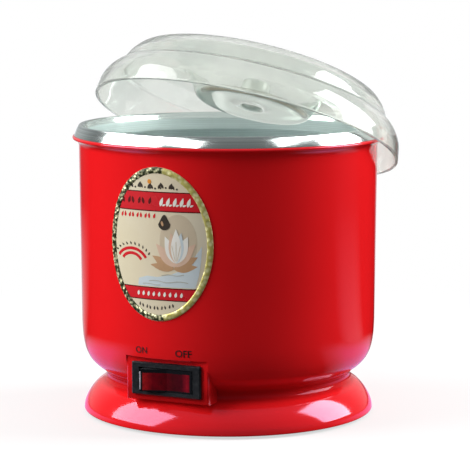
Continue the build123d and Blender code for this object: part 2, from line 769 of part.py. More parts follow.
# ------------------------------------------------------------ cord bush
def cord_grommet():
    barrel_y = 55.0
    with BuildPart() as bush:
        # flange on the moulded boss
        with BuildSketch(facing_front(CORD_BOSS_Y + FIT_GAP)):
            with Locations((0, CORD_Z)):
                Circle(6.6)
        extrude(amount=-2.4)
        fillet(bush.faces().sort_by(Axis.Y)[-1].edges(), 0.9)
        # barrel through the boss
        with BuildSketch(facing_front(barrel_y)):
            with Locations((0, CORD_Z)):
                Circle(4.55)
        extrude(amount=-(CORD_BOSS_Y - barrel_y + 0.5))
        # bend relief tail
        with BuildSketch(facing_front(CORD_BOSS_Y + 2.0)):
            with Locations((0, CORD_Z)):
                Circle(5.0)
        extrude(amount=-12.0, taper=6)
        # bore for the cord
        with BuildSketch(facing_front(50.0)):
            with Locations((0, CORD_Z)):
                Circle(CORD_R + 0.04)
        extrude(amount=-40.0, mode=Mode.SUBTRACT)
    return bush.part


# ------------------------------------------------------------ cord, tie, plug
# The cord leaves the bush, sinks to the table, lies in a flat hank behind the
# pot and ends in the plug above the hank.
COIL_DIR = 115.0         # from the pot to the hank, degrees from +X, to the rear left
HANK_NEAR = 106.0        # pot axis to the first run of the hank
HANK_STEP = 12.0         # spacing of the runs
HANK_RUNS = 5
HANK_DEPTH = (HANK_RUNS - 1) * HANK_STEP
HANK_HALF_L = 41.0       # half length of a run, to its corners
HANK_Z = CORD_R + 0.9    # cord centre in the hank
HANK_BEND_R = 5.9
RISE_ACROSS = -46.0      # where the cord climbs from the hank to the plug
CORD_START_Y = 53.5
CORD_END_ACROSS = -28.0
PLUG_BACK = 130.0        # pot axis to the plug's axis
PLUG_Z = 27.2
PLUG_L = 40.0
TIE_H, TIE_T = 7.7, 0.6

# unit directions across and away from the pot along which the hank is laid
ACROSS = Vector(sin(radians(COIL_DIR)), -cos(radians(COIL_DIR)), 0)
BACK = Vector(cos(radians(COIL_DIR)), sin(radians(COIL_DIR)), 0)

# front face of the plug, looking along the pins; local y is up
PLUG_PLANE = Plane(
    origin=ACROSS * (CORD_END_ACROSS + PLUG_L) + BACK * PLUG_BACK + Vector(0, 0, PLUG_Z),
    x_dir=BACK,
    z_dir=ACROSS,
)

# Plug sections: distance from the front face, width, height, corner radius.
PLUG_SECTIONS = [
    (0.0, 35.0, 38.0, 10.0),
    (-7.0, 35.6, 38.6, 10.5),
    (-20.0, 29.0, 30.0, 10.5),
    (-31.0, 14.5, 15.0, 6.8),
    (-PLUG_L + FIT_GAP, 10.4, 10.4, 5.0),
]
PIN_PITCH = 19.05        # live to neutral
EARTH_PITCH = 22.2       # earth to the line of the other two
EARTH_PIN_UP = 13.3      # earth pin above the plug's axis


def rounded_run(points, bend_radii):
    """straight runs with an arc at every inner corner, laid into the open line context"""
    points = [Vector(*point) for point in points]
    start = points[0]
    for before, corner, after, radius in zip(points, points[1:], points[2:], bend_radii):
        to_before = (before - corner).normalized()
        to_after = (after - corner).normalized()
        half_angle = radians(to_before.get_angle(to_after) / 2)
        setback = radius / tan(half_angle)
        bisector = (to_before + to_after).normalized()
        arc_mid = corner + bisector * (radius / sin(half_angle) - radius)
        Line(start, corner + to_before * setback)
        ThreePointArc(corner + to_before * setback, arc_mid, corner + to_after * setback)
        start = corner + to_after * setback
    Line(start, points[-1])


def hank_at(across, back, z):
    return ACROSS * across + BACK * back + Vector(0, 0, z)


def power_cord():
    points = [(0, CORD_START_Y, CORD_Z), (0, 90.0, CORD_Z), (0, 99.0, HANK_Z)]
    for run in range(HANK_RUNS):
        back = HANK_NEAR + run * HANK_STEP
        across = HANK_HALF_L if run % 2 == 0 else -HANK_HALF_L
        points += [hank_at(across, back, HANK_Z), hank_at(-across, back, HANK_Z)]
    points += [
        hank_at(RISE_ACROSS, HANK_NEAR + 44.0, 10.0),
        hank_at(RISE_ACROSS, PLUG_BACK, PLUG_Z),
        hank_at(CORD_END_ACROSS, PLUG_BACK, PLUG_Z),
    ]
    # the first and last corners of the hank are wider
    hank_bends = [8.0] + [HANK_BEND_R] * (2 * HANK_RUNS - 2) + [8.0]
    with BuildPart() as cord:
        with BuildLine() as path:
            rounded_run(points, [9.0, 12.0] + hank_bends + [6.0, 9.0])
        with BuildSketch(facing_front(CORD_START_Y)):
            with Locations((0, CORD_Z)):
                Circle(CORD_R)
        sweep(path=path.wires()[0])
    return cord.part


def cord_tie():
    """flat tie round the runs of the hank"""
    tie_w = HANK_DEPTH + 8.0
    with BuildPart() as tie:
        with BuildSketch(Plane(origin=ACROSS * 19.0, x_dir=BACK, z_dir=ACROSS)):
            with Locations((HANK_NEAR + HANK_DEPTH / 2, 3.95)):
                RectangleRounded(tie_w, TIE_H, 3.7)
                RectangleRounded(tie_w - 2 * TIE_T, TIE_H - 2 * TIE_T, 3.2, mode=Mode.SUBTRACT)
        extrude(amount=4.0)
    return tie.part


def plug_body():
    with BuildPart() as plug:
        for distance, width, height, corner_radius in PLUG_SECTIONS:
            with BuildSketch(PLUG_PLANE.offset(distance)):
                RectangleRounded(width, height, corner_radius)
        loft()
    return plug.part


def plug_pins():
    with BuildPart() as pins:
        # live and neutral
        with BuildSketch(PLUG_PLANE.offset(FIT_GAP)):
            with Locations(*mirrored(-PIN_PITCH / 2, EARTH_PIN_UP - EARTH_PITCH)):
                Circle(2.54)
        extrude(amount=14.9)
        # earth
        with BuildSketch(PLUG_PLANE.offset(FIT_GAP)):
            with Locations((0, EARTH_PIN_UP)):
                Circle(3.53)
        extrude(amount=20.6)
    return pins.part


# ------------------------------------------------------------ earth tag and inner wires
def earth_tag():
    with BuildPart() as tag:
        with BuildSketch(level(28.1)):
            Circle(5.2)
            with Locations((0, 8.5)):
                Rectangle(3.6, 8.0)
            Circle(3.1, mode=Mode.SUBTRACT)
        extrude(amount=0.8)
    return tag.part


WIRE_R = 0.95
WIRE_START_Y = 53.3      # where the cord's three cores part
TAB_WIRE_Y = -35.6       # wire ends behind the switch tabs
THERMO_WIRE_Z = 22.3     # wire ends under the thermostat tabs
TAIL_WIRE_X, TAIL_WIRE_Y, TAIL_WIRE_Z = 32.5, -16.0, 30.9  # wire ends under the tails
FUSE_LEAD_X = 13.1       # wire ends at the fuse leads
FUSE_RIGHT_X, FUSE_LEFT_X = 17.6, -17.8  # where the fuse wires pass the shield

# Each wire: corner points x, y, z, then the bend radius at each inner corner.
WIRES = {
    "live_wire": (
        [(-1.5, WIRE_START_Y, 27.0), (-1.5, 51.0, 27.0), (-9.0, 45.0, 14.0),
         (-16.5, 28.0, 11.0), (-16.5, -16.0, 11.0), (LIVE_TAB_X, -30.0, SWITCH_Z),
         (LIVE_TAB_X, TAB_WIRE_Y, SWITCH_Z)],
        [1.6, 4.0, 6.0, 6.0, 3.0],
    ),
    "neutral_wire": (
        [(1.5, WIRE_START_Y, 27.0), (1.5, 51.0, 27.0), (10.0, 44.0, 13.5),
         (26.0, 26.0, 11.0), (TAIL_WIRE_X, 0.0, 11.0), (TAIL_WIRE_X, TAIL_WIRE_Y, 14.0),
         (TAIL_WIRE_X, TAIL_WIRE_Y, TAIL_WIRE_Z)],
        [1.6, 4.0, 8.0, 6.0, 5.0],
    ),
    "earth_wire": (
        [(0.0, WIRE_START_Y, 25.0), (0.0, 50.5, 25.0), (0.0, 45.0, 13.5),
         (0.0, 28.0, 13.5), (0.0, 19.0, 28.5), (0.0, 13.6, 28.5)],
        [2.0, 5.0, 6.0, 3.0],
    ),
    "switched_wire": (
        [(LOAD_TAB_X, TAB_WIRE_Y, SWITCH_Z), (LOAD_TAB_X, -29.0, SWITCH_Z),
         (12.5, -14.0, 19.0), (12.5, 20.0, 19.0), (THERMO_TAB_X, THERMO_Y, 16.5),
         (THERMO_TAB_X, THERMO_Y, THERMO_WIRE_Z)],
        [4.0, 6.0, 6.0, 2.5],
    ),
    "thermostat_wire": (
        [(-THERMO_TAB_X, THERMO_Y, THERMO_WIRE_Z), (-THERMO_TAB_X, THERMO_Y, 18.0),
         (-5.0, 31.0, 9.0), (6.0, 4.0, 9.0), (FUSE_RIGHT_X, FUSE_Y, 12.0),
         (FUSE_RIGHT_X, FUSE_Y, FUSE_Z), (FUSE_LEAD_X, FUSE_Y, FUSE_Z)],
        [2.2, 5.0, 8.0, 5.0, 2.0],
    ),
    "element_wire": (
        [(-FUSE_LEAD_X, FUSE_Y, FUSE_Z), (FUSE_LEFT_X, FUSE_Y, FUSE_Z),
         (FUSE_LEFT_X, FUSE_Y, 24.0), (-TAIL_WIRE_X, TAIL_WIRE_Y, 24.0),
         (-TAIL_WIRE_X, TAIL_WIRE_Y, TAIL_WIRE_Z)],
        [2.0, 4.0, 3.0],
    ),
}


def inner_wire(points, bend_radii):
    first_direction = (Vector(*points[1]) - Vector(*points[0])).normalized()
    with BuildPart() as wire:
        with BuildLine() as path:
            rounded_run(points, bend_radii)
        with BuildSketch(Plane(origin=points[0], z_dir=first_direction)):
            Circle(WIRE_R)
        sweep(path=path.wires()[0])
    return wire.part


# ------------------------------------------------------------ build and save
def save(name, part):
    part.label = name
    export_step(part, f"parts/{name}.step")


# each function is named after the piece it builds
PIECES = [
    outer_body, wax_bowl, lid, front_label,
    base_plate, base_screws, rubber_feet,
    heater_stud, heating_element, clamp_plate, heater_nuts,
    heat_shield, support_bridge, bridge_screws,
    thermostat, thermostat_bracket, thermostat_studs, thermostat_nuts,
    thermal_fuse, fuse_clip,
    switch_case, switch_rocker, switch_contact_lever, switch_terminals, switch_lamp,
    cord_grommet, power_cord, cord_tie, plug_body, plug_pins, earth_tag,
]

for build in PIECES:
    save(build.__name__, build())
for name, sizes in DISCS.items():
    save(name, disc(*sizes))
for name, (points, bend_radii) in WIRES.items():
    save(name, inner_wire(points, bend_radii))
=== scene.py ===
import json
import math
import bpy
import bmesh
from mathutils import Vector, Matrix
import mathutils.geometry as mgeo


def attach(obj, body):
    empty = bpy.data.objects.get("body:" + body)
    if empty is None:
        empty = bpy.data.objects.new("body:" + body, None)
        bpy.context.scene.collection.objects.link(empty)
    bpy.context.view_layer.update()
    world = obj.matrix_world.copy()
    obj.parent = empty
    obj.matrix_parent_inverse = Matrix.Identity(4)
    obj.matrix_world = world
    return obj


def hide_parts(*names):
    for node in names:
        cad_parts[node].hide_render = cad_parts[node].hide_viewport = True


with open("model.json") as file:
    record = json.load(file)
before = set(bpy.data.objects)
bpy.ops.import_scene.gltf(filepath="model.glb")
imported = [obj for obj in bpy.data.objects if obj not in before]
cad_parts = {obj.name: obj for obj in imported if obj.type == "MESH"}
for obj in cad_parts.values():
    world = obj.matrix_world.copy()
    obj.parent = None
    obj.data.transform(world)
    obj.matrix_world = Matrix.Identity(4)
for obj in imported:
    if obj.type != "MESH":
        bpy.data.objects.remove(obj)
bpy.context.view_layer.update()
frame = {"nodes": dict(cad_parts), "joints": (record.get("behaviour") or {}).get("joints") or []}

N = frame["nodes"]
J = {j["name"]: j for j in frame["joints"]}
MM = 0.001
sin, cos, pi, rad = math.sin, math.cos, math.pi, math.radians
scene = bpy.context.scene
coll = scene.collection


# ------------------------------------------------------------------ material helpers
class Mat:
    def __init__(self, name, **base):
        self.m = bpy.data.materials.new(name)
        self.m.use_nodes = True
        self.nt = self.m.node_tree
        self.b = self.nt.nodes["Principled BSDF"]
        for k, v in base.items():
            self.set(k, v)

    def set(self, k, v):
        k = k.replace("_", " ")
        sock = self.b.inputs[k]
        if isinstance(v, (tuple, list)) and len(v) == 3:
            v = (*v, 1.0)
        sock.default_value = v

    def n(self, kind, **kw):
        node = self.nt.nodes.new(kind)
        for k, v in kw.items():
            if k.startswith("in_"):
                key = k[3:].replace("_", " ")
                node.inputs[key].default_value = v
            else:
                setattr(node, k, v)
        return node

    def link(self, a, b):
        self.nt.links.new(a, b)

    def coords(self, scale=(1, 1, 1), kind="Object"):
        tc = self.n("ShaderNodeTexCoord")
        mp = self.n("ShaderNodeMapping")
        mp.inputs["Scale"].default_value = scale
        self.link(tc.outputs[kind], mp.inputs["Vector"])
        return mp.outputs["Vector"]

    def noise(self, scale, detail=3.0, rough=0.5, vec=None, dist=0.0):
        t = self.n("ShaderNodeTexNoise")
        t.inputs["Scale"].default_value = scale
        t.inputs["Detail"].default_value = detail
        t.inputs["Roughness"].default_value = rough
        t.inputs["Distortion"].default_value = dist
        self.link(vec if vec is not None else self.coords(), t.inputs["Vector"])
        return t.outputs["Fac"]

    def ramp(self, fac, stops):
        r = self.n("ShaderNodeValToRGB")
        e = r.color_ramp.elements
        while len(e) < len(stops):
            e.new(0.5)
        for i, (p, c) in enumerate(stops):
            e[i].position = p
            e[i].color = (*c, 1.0) if len(c) == 3 else c
        self.link(fac, r.inputs["Fac"])
        return r.outputs["Color"]

    def maprange(self, fac, a, b, lo=0.0, hi=1.0):
        r = self.n("ShaderNodeMapRange")
        r.inputs["From Min"].default_value = lo
        r.inputs["From Max"].default_value = hi
        r.inputs["To Min"].default_value = a
        r.inputs["To Max"].default_value = b
        self.link(fac, r.inputs["Value"])
        return r.outputs["Result"]

    def bump(self, height, strength, distance=0.0002, normal=None):
        b = self.n("ShaderNodeBump")
        b.inputs["Strength"].default_value = strength
        b.inputs["Distance"].default_value = distance
        self.link(height, b.inputs["Height"])
        if normal is not None:
            self.link(normal, b.inputs["Normal"])
        return b.outputs["Normal"]

    def to(self, out, key):
        self.link(out, self.b.inputs[key])

    def mix(self, fac, a, b):
        m = self.n("ShaderNodeMix", data_type="RGBA")
        if isinstance(fac, float):
            m.inputs[0].default_value = fac
        else:
            self.link(fac, m.inputs[0])
        for i, v in ((6, a), (7, b)):
            if isinstance(v, tuple):
                m.inputs[i].default_value = (*v, 1.0)
            else:
                self.link(v, m.inputs[i])
        return m.outputs[2]

    def edge_wear(self, color_out, wear_color, radius=0.0008, strength=0.35):
        g = self.n("ShaderNodeNewGeometry")
        r = self.maprange(g.outputs["Pointiness"], 0.0, 1.0, 0.50, 0.60)
        nn = self.noise(900, 4)
        mul = self.n("ShaderNodeMath", operation="MULTIPLY")
        self.link(r, mul.inputs[0])
        self.link(self.maprange(nn, 0.0, strength, 0.45, 0.65), mul.inputs[1])
        return self.mix(mul.outputs[0], color_out, wear_color)


def glossy_plastic(name, col, rough=0.14, coat=0.0, peel=0.05, dark=0.86, spec=0.5):
    m = Mat(name, Base_Color=col, Roughness=rough, IOR=1.5, Coat_Weight=coat, Coat_Roughness=0.05)
    m.b.inputs["Specular IOR Level"].default_value = spec
    m.b.inputs["Specular Tint"].default_value = (1.0, 0.62, 0.98, 1.0)
    c = m.ramp(m.noise(22, 4), [(0.30, tuple(v * dark for v in col)), (0.70, col)])
    m.to(m.edge_wear(c, tuple(min(1, v * 1.15 + 0.03) for v in col), strength=0.18), "Base Color")
    sm = m.noise(55, 6, 0.62, vec=m.coords((1, 1, 0.35)))
    m.to(m.maprange(sm, rough * 0.8, rough * 1.45, 0.3, 0.75), "Roughness")
    n1 = m.bump(m.noise(160, 2, 0.4), peel, 0.0002)
    n2 = m.bump(m.noise(2600, 2, 0.5), peel * 0.35, 0.00002, n1)
    m.to(n2, "Normal")
    return m.m


def matte_plastic(name, col, rough=0.45, grain=0.25, gscale=2400):
    m = Mat(name, Base_Color=col, Roughness=rough, IOR=1.48)
    c = m.ramp(m.noise(60, 5), [(0.3, tuple(v * 0.8 for v in col)), (0.7, tuple(min(1, v * 1.15 + 0.003) for v in col))])
    m.to(m.edge_wear(c, tuple(min(1, v * 1.3 + 0.03) for v in col), strength=0.4), "Base Color")
    m.to(m.maprange(m.noise(90, 5, 0.6), rough * 0.85, rough * 1.2), "Roughness")
    v = m.n("ShaderNodeTexVoronoi")
    v.inputs["Scale"].default_value = gscale
    m.link(m.coords(), v.inputs["Vector"])
    m.to(m.bump(v.outputs["Distance"], grain, 0.00004), "Normal")
    return m.m


def metal(name, col, rough=0.25, brushed=None, aniso=0.0):
    m = Mat(name, Base_Color=col, Metallic=1.0, Roughness=rough)
    vec = m.coords(brushed or (1, 1, 1))
    f = m.noise(420, 5, 0.6, vec=vec)
    c = m.ramp(f, [(0.3, tuple(v * 0.86 for v in col)), (0.7, tuple(min(1, v * 1.05) for v in col))])
    m.to(c, "Base Color")
    m.to(m.maprange(f, rough * 0.75, rough * 1.35, 0.3, 0.7), "Roughness")
    m.to(m.bump(f, 0.12, 0.00006), "Normal")
    return m.m


def spun_metal(name, col, rough=0.24):
    """turned finish: fine rings about the pot's axis, with a little colour drift"""
    m = Mat(name, Base_Color=col, Metallic=1.0, Roughness=rough, Anisotropic=0.35)
    tc = m.n("ShaderNodeTexCoord")
    sep = m.n("ShaderNodeSeparateXYZ")
    m.link(tc.outputs["Object"], sep.inputs[0])
    sq = m.n("ShaderNodeVectorMath", operation="LENGTH")
    comb = m.n("ShaderNodeCombineXYZ")
    m.link(sep.outputs["X"], comb.inputs["X"])
    m.link(sep.outputs["Y"], comb.inputs["Y"])
    m.link(comb.outputs[0], sq.inputs[0])
    ring = m.n("ShaderNodeCombineXYZ")
    m.link(sq.outputs["Value"], ring.inputs["X"])
    m.link(sep.outputs["Z"], ring.inputs["Y"])
    rings = m.n("ShaderNodeTexNoise")
    rings.inputs["Scale"].default_value = 2600
    rings.inputs["Detail"].default_value = 2
    m.link(ring.outputs[0], rings.inputs["Vector"])
    broad = m.n("ShaderNodeTexNoise")
    broad.inputs["Scale"].default_value = 240
    m.link(ring.outputs[0], broad.inputs["Vector"])
    blot = m.noise(35, 5, 0.6)
    c1 = m.ramp(rings.outputs["Fac"], [(0.3, tuple(v * 0.80 for v in col)), (0.7, tuple(min(1, v * 1.06) for v in col))])
    c2 = m.mix(m.maprange(blot, 0.0, 0.25, 0.45, 0.75), c1, tuple(v * 0.72 for v in col))
    m.to(c2, "Base Color")
    m.to(m.maprange(broad.outputs["Fac"], rough * 0.8, rough * 1.3, 0.3, 0.7), "Roughness")
    n1 = m.bump(rings.outputs["Fac"], 0.10, 0.00005)
    n2 = m.bump(broad.outputs["Fac"], 0.12, 0.0001, n1)
    n3 = m.bump(m.noise(60, 3), 0.10, 0.0006, n2)
    m.to(n3, "Normal")
    return m.m


def clear_plastic(name):
    m = Mat(name, Base_Color=(0.95, 0.965, 0.95), Roughness=0.02, IOR=1.46, Transmission_Weight=0.90)
    m.b.inputs["Specular IOR Level"].default_value = 0.55
    f = m.noise(38, 5, 0.6)
    m.to(m.maprange(f, 0.012, 0.07, 0.35, 0.75), "Roughness")
    m.to(m.maprange(m.noise(70, 5, 0.65), 0.93, 0.84, 0.3, 0.75), "Transmission Weight")
    flow = m.noise(26, 2, 0.4, dist=0.6)
    n1 = m.bump(flow, 0.20, 0.0012)
    sc = m.n("ShaderNodeTexNoise")
    sc.inputs["Scale"].default_value = 900
    m.link(m.coords((1, 0.06, 1)), sc.inputs["Vector"])
    m.to(m.bump(sc.outputs["Fac"], 0.03, 0.00005, n1), "Normal")
    tone = m.ramp(m.noise(20, 3), [(0.3, (0.83, 0.87, 0.825)), (0.7, (0.93, 0.945, 0.91))])
    # a warm line where the floor of the dish turns up into its wall, on the side facing forward
    t_, d_ = rad(22.2), rad(77.9)
    uu = Vector((cos(d_), sin(d_), 0))
    nn = uu * sin(t_) + Vector((0, 0, cos(t_)))
    org = uu * (12.9 * MM) + Vector((0, 0, 122.3 * MM))
    tcl = m.n("ShaderNodeTexCoord")
    sub = m.n("ShaderNodeVectorMath", operation="SUBTRACT")
    sub.inputs[1].default_value = org
    m.link(tcl.outputs["Object"], sub.inputs[0])
    hh = m.n("ShaderNodeVectorMath", operation="DOT_PRODUCT")
    hh.inputs[1].default_value = nn
    m.link(sub.outputs["Vector"], hh.inputs[0])
    hv = m.n("ShaderNodeVectorMath", operation="SCALE")
    hv.inputs[0].default_value = nn
    m.link(hh.outputs["Value"], hv.inputs["Scale"])
    rv = m.n("ShaderNodeVectorMath", operation="SUBTRACT")
    m.link(sub.outputs["Vector"], rv.inputs[0]); m.link(hv.outputs["Vector"], rv.inputs[1])
    rl = m.n("ShaderNodeVectorMath", operation="LENGTH")
    m.link(rv.outputs["Vector"], rl.inputs[0])
    band_r = m.ramp(m.maprange(rl.outputs["Value"], 0.0, 1.0, 0.0215, 0.0270), [(0.25, (0, 0, 0)), (0.45, (1, 1, 1)), (0.60, (1, 1, 1)), (0.80, (0, 0, 0))])
    band_h = m.maprange(hh.outputs["Value"], 1.0, 0.0, 0.0118, 0.0134)
    front = m.n("ShaderNodeVectorMath", operation="DOT_PRODUCT")
    front.inputs[1].default_value = (0.5, -0.866, 0)
    m.link(rv.outputs["Vector"], front.inputs[0])
    bf = m.maprange(front.outputs["Value"], 0.0, 0.8, 0.004, 0.012)
    a1 = m.n("ShaderNodeMath", operation="MULTIPLY")
    m.link(band_r, a1.inputs[0]); m.link(band_h, a1.inputs[1])
    a2 = m.n("ShaderNodeMath", operation="MULTIPLY")
    m.link(a1.outputs[0], a2.inputs[0]); m.link(bf, a2.inputs[1])
    m.to(m.mix(a2.outputs[0], tone, (0.80, 0.62, 0.46)), "Base Color")
    tw = m.maprange(m.noise(70, 5, 0.65), 0.93, 0.84, 0.3, 0.75)
    a3 = m.n("ShaderNodeMath", operation="MULTIPLY_ADD")
    a3.inputs[1].default_value = -0.55
    m.link(a2.outputs[0], a3.inputs[0]); m.link(tw, a3.inputs[2])
    # the funnel dish and its finger post are made milkier than the dome: partly scatter in the plastic, partly a
    # painted reflection of the bright well of the bowl below
    dish = m.maprange(rl.outputs["Value"], 1.0, 0.0, 0.0235, 0.0275)
    a4 = m.n("ShaderNodeMath", operation="MULTIPLY_ADD")
    a4.inputs[1].default_value = -0.22
    m.link(dish, a4.inputs[0]); m.link(a3.outputs[0], a4.inputs[2])
    m.to(a4.outputs[0], "Transmission Weight")
    return m.m


def ink(name, col, rough=0.35, var=0.82, sc=300, metallic=0.0):
    m = Mat(name, Base_Color=col, Roughness=rough, Metallic=metallic)
    m.to(m.ramp(m.noise(sc, 5, 0.6), [(0.3, tuple(v * var for v in col)), (0.7, col)]), "Base Color")
    m.to(m.maprange(m.noise(sc * 0.3, 4), rough * 0.8, rough * 1.25), "Roughness")
    m.to(m.bump(m.noise(3200, 2), 0.08, 0.00002), "Normal")
    return m.m


def gold_rope(name, dark, light, rough=0.3, sc=1500):
    m = Mat(name, Base_Color=light, Metallic=0.35, Roughness=rough)
    v = m.n("ShaderNodeTexVoronoi")
    v.inputs["Scale"].default_value = sc
    m.link(m.coords(), v.inputs["Vector"])
    m.to(m.ramp(v.outputs["Distance"], [(0.22, light), (0.60, dark)]), "Base Color")
    m.to(m.maprange(m.noise(900, 3), rough * 0.6, rough * 1.6), "Roughness")
    m.to(m.bump(v.outputs["Distance"], 0.7, 0.00025), "Normal")
    return m.m


RED = (0.84, 0.0115, 0.0145)
M_RED = glossy_plastic("red_shell", RED, rough=0.085, coat=0.0, peel=0.05, dark=0.95, spec=0.72)
M_ALU = spun_metal("spun_aluminium", (0.78, 0.855, 0.845), 0.12)
# painted shade: a darker and rougher copy of the aluminium for the inside of the bowl
M_ALU_IN_SHADED = spun_metal("spun_aluminium_inside_shaded", (0.60, 0.70, 0.695), 0.55)
M_LID = clear_plastic("clear_lid")
M_BLACK = matte_plastic("black_plastic", (0.012, 0.014, 0.018), 0.32, 0.18, 2600)
M_BASE = matte_plastic("base_black", (0.02, 0.02, 0.022), 0.5, 0.35, 1800)
M_RUBBER = matte_plastic("rubber_foot", (0.025, 0.025, 0.025), 0.75, 0.5, 3000)
M_STEEL = metal("zinc_steel", (0.62, 0.63, 0.64), 0.32)
M_BRASS = metal("brass_bright", (0.80, 0.62, 0.27), 0.26, (1, 1, 12))
M_SHIELD = metal("shield_alu", (0.78, 0.78, 0.79), 0.3, (1, 14, 1))
M_MICA = ink("mica_sheet", (0.62, 0.55, 0.38), 0.4, 0.6, 180)
M_CER = matte_plastic("ceramic_body", (0.80, 0.79, 0.75), 0.6, 0.3, 1500)
M_WIRE_R = matte_plastic("wire_red", (0.5, 0.01, 0.012), 0.4, 0.15, 2000)
M_WIRE_B = matte_plastic("wire_black", (0.015, 0.015, 0.016), 0.42, 0.25, 1500)
M_WIRE_G = matte_plastic("wire_green", (0.03, 0.25, 0.04), 0.4, 0.15, 2000)

m = Mat("rocker_red", Base_Color=(0.16, 0.004, 0.010), Roughness=0.14, IOR=1.49)
tcr = m.n("ShaderNodeTexCoord")
spr = m.n("ShaderNodeSeparateXYZ")
m.link(tcr.outputs["Object"], spr.inputs[0])
lens_x = m.ramp(m.maprange(spr.outputs["X"], 0.0, 1.0, -0.0125, 0.0125), [(0.13, (0, 0, 0)), (0.145, (1, 1, 1)), (0.94, (1, 1, 1)), (0.955, (0, 0, 0))])
lens_z = m.ramp(m.maprange(spr.outputs["Z"], 0.0, 1.0, 0.0183, 0.0283), [(0.07, (0, 0, 0)), (0.10, (1, 1, 1)), (0.80, (1, 1, 1)), (0.83, (0, 0, 0))])
both = m.n("ShaderNodeMath", operation="MULTIPLY")
m.link(lens_x, both.inputs[0]); m.link(lens_z, both.inputs[1])
# painted light on the lens: the red is brightest at the raised left end, darkest in the middle and brighter again near
# the right end, standing for how the side lights fall on the tilted rocker
glow = m.ramp(m.maprange(spr.outputs["X"], 0.0, 1.0, -0.0095, 0.0115), [(0.0, (0.62, 0.022, 0.024)), (0.10, (0.45, 0.010, 0.016)), (0.22, (0.20, 0.003, 0.010)), (0.45, (0.15, 0.003, 0.008)), (0.62, (0.075, 0.005, 0.009)), (0.82, (0.085, 0.005, 0.012)), (0.93, (0.32, 0.008, 0.022)), (1.0, (0.18, 0.004, 0.012))])
cells = m.mix(m.maprange(m.noise(420, 4, 0.6), 0.0, 0.55, 0.35, 0.7), glow, (0.03, 0.003, 0.006))
m.to(m.mix(both.outputs[0], (0.010, 0.011, 0.014), cells), "Base Color")
rib = m.n("ShaderNodeTexWave")
rib.inputs["Scale"].default_value = 260
m.link(m.coords(), rib.inputs["Vector"])
m.to(m.bump(rib.outputs["Fac"], 0.06, 0.00008, m.bump(m.noise(1800, 3), 0.05, 0.00003)), "Normal")
M_ROCKER = m.m
# painted highlight: pale grey material for a strip standing in for the light caught by the rocker's raised end
m = Mat("rocker_painted_highlight", Base_Color=(0.62, 0.60, 0.66), Roughness=0.25)
m.to(m.ramp(m.noise(700, 4), [(0.3, (0.42, 0.38, 0.46)), (0.7, (0.74, 0.72, 0.78))]), "Base Color")
m.to(m.bump(m.noise(2500, 2), 0.05, 0.00002), "Normal")
M_ROCKER_HIGHLIGHT = m.m
m = Mat("lamp_glass", Base_Color=(0.95, 0.6, 0.4), Roughness=0.08, Transmission_Weight=0.8)
m.to(m.ramp(m.noise(500, 3), [(0.3, (0.9, 0.45, 0.3)), (0.7, (0.98, 0.72, 0.5))]), "Base Color")
M_LAMP = m.m


def setmat(obj, mat, smooth=35):
    obj.data.materials.clear()
    obj.data.materials.append(mat)
    if smooth is not None:
        for p in obj.data.polygons:
            p.use_smooth = True
        obj.data.set_sharp_from_angle(angle=rad(smooth))


MATS = {
    "outer_body": (M_RED, 28), "wax_bowl": (M_ALU, 28), "lid": (M_LID, 30), "front_label": (M_MICA, 30),
    "base_plate": (M_BASE, 30), "base_screws": (M_STEEL, 30), "rubber_feet": (M_RUBBER, 30), "heater_stud": (M_STEEL, 30),
    "upper_mica": (M_MICA, 30), "heating_element": (M_STEEL, 30), "lower_mica": (M_MICA, 30), "clamp_plate": (M_STEEL, 30),
    "heater_nuts": (M_STEEL, 25), "heat_shield": (M_SHIELD, 30), "support_bridge": (M_STEEL, 30), "bridge_screws": (M_STEEL, 30),
    "stud_washer": (M_STEEL, 30), "thermostat": (M_CER, 30), "thermostat_bracket": (M_STEEL, 30), "thermostat_studs": (M_STEEL, 30),
    "thermostat_nuts": (M_STEEL, 25), "thermal_fuse": (M_CER, 30), "fuse_clip": (M_STEEL, 30), "switch_case": (M_BLACK, 30),
    "switch_rocker": (M_ROCKER, 30), "switch_contact_lever": (M_BRASS, 30), "switch_terminals": (M_BRASS, 30),
    "switch_lamp": (M_LAMP, 40), "cord_grommet": (M_RUBBER, 35), "power_cord": (M_WIRE_B, 50), "cord_tie": (M_BLACK, 40),
    "plug_body": (M_WIRE_B, 40), "plug_pins": (M_BRASS, 35), "earth_tag": (M_BRASS, 30), "live_wire": (M_WIRE_R, 50),
    "neutral_wire": (M_WIRE_B, 50), "earth_wire": (M_WIRE_G, 50), "switched_wire": (M_WIRE_R, 50), "thermostat_wire": (M_WIRE_R, 50),
    "element_wire": (M_WIRE_R, 50),
}
for name, obj in N.items():
    mat, ang = MATS.get(name, (M_BLACK, 30))
    setmat(obj, mat, ang)

for name, w in (("switch_case", 0.35), ("switch_rocker", 0.35), ("cord_tie", 0.25)):
    bv = N[name].modifiers.new("edge", "BEVEL")
    bv.width = w * MM
    bv.segments = 2
    bv.limit_method = "ANGLE"
    bv.angle_limit = rad(40)
    bv.harden_normals = False


# ------------------------------------------------------------------ geometry helpers
def catmull(pts, per=6):
    out = []
    n = len(pts)
    for i in range(n - 1):
        p0 = pts[max(0, i - 1)]; p1 = pts[i]; p2 = pts[i + 1]; p3 = pts[min(n - 1, i + 2)]
        for k in range(per):
            t = k / per
            out.append(tuple(0.5 * ((2 * p1[j]) + (-p0[j] + p2[j]) * t + (2 * p0[j] - 5 * p1[j] + 4 * p2[j] - p3[j]) * t * t + (-p0[j] + 3 * p1[j] - 3 * p2[j] + p3[j]) * t ** 3) for j in range(2)))
    out.append(pts[-1])
    return out


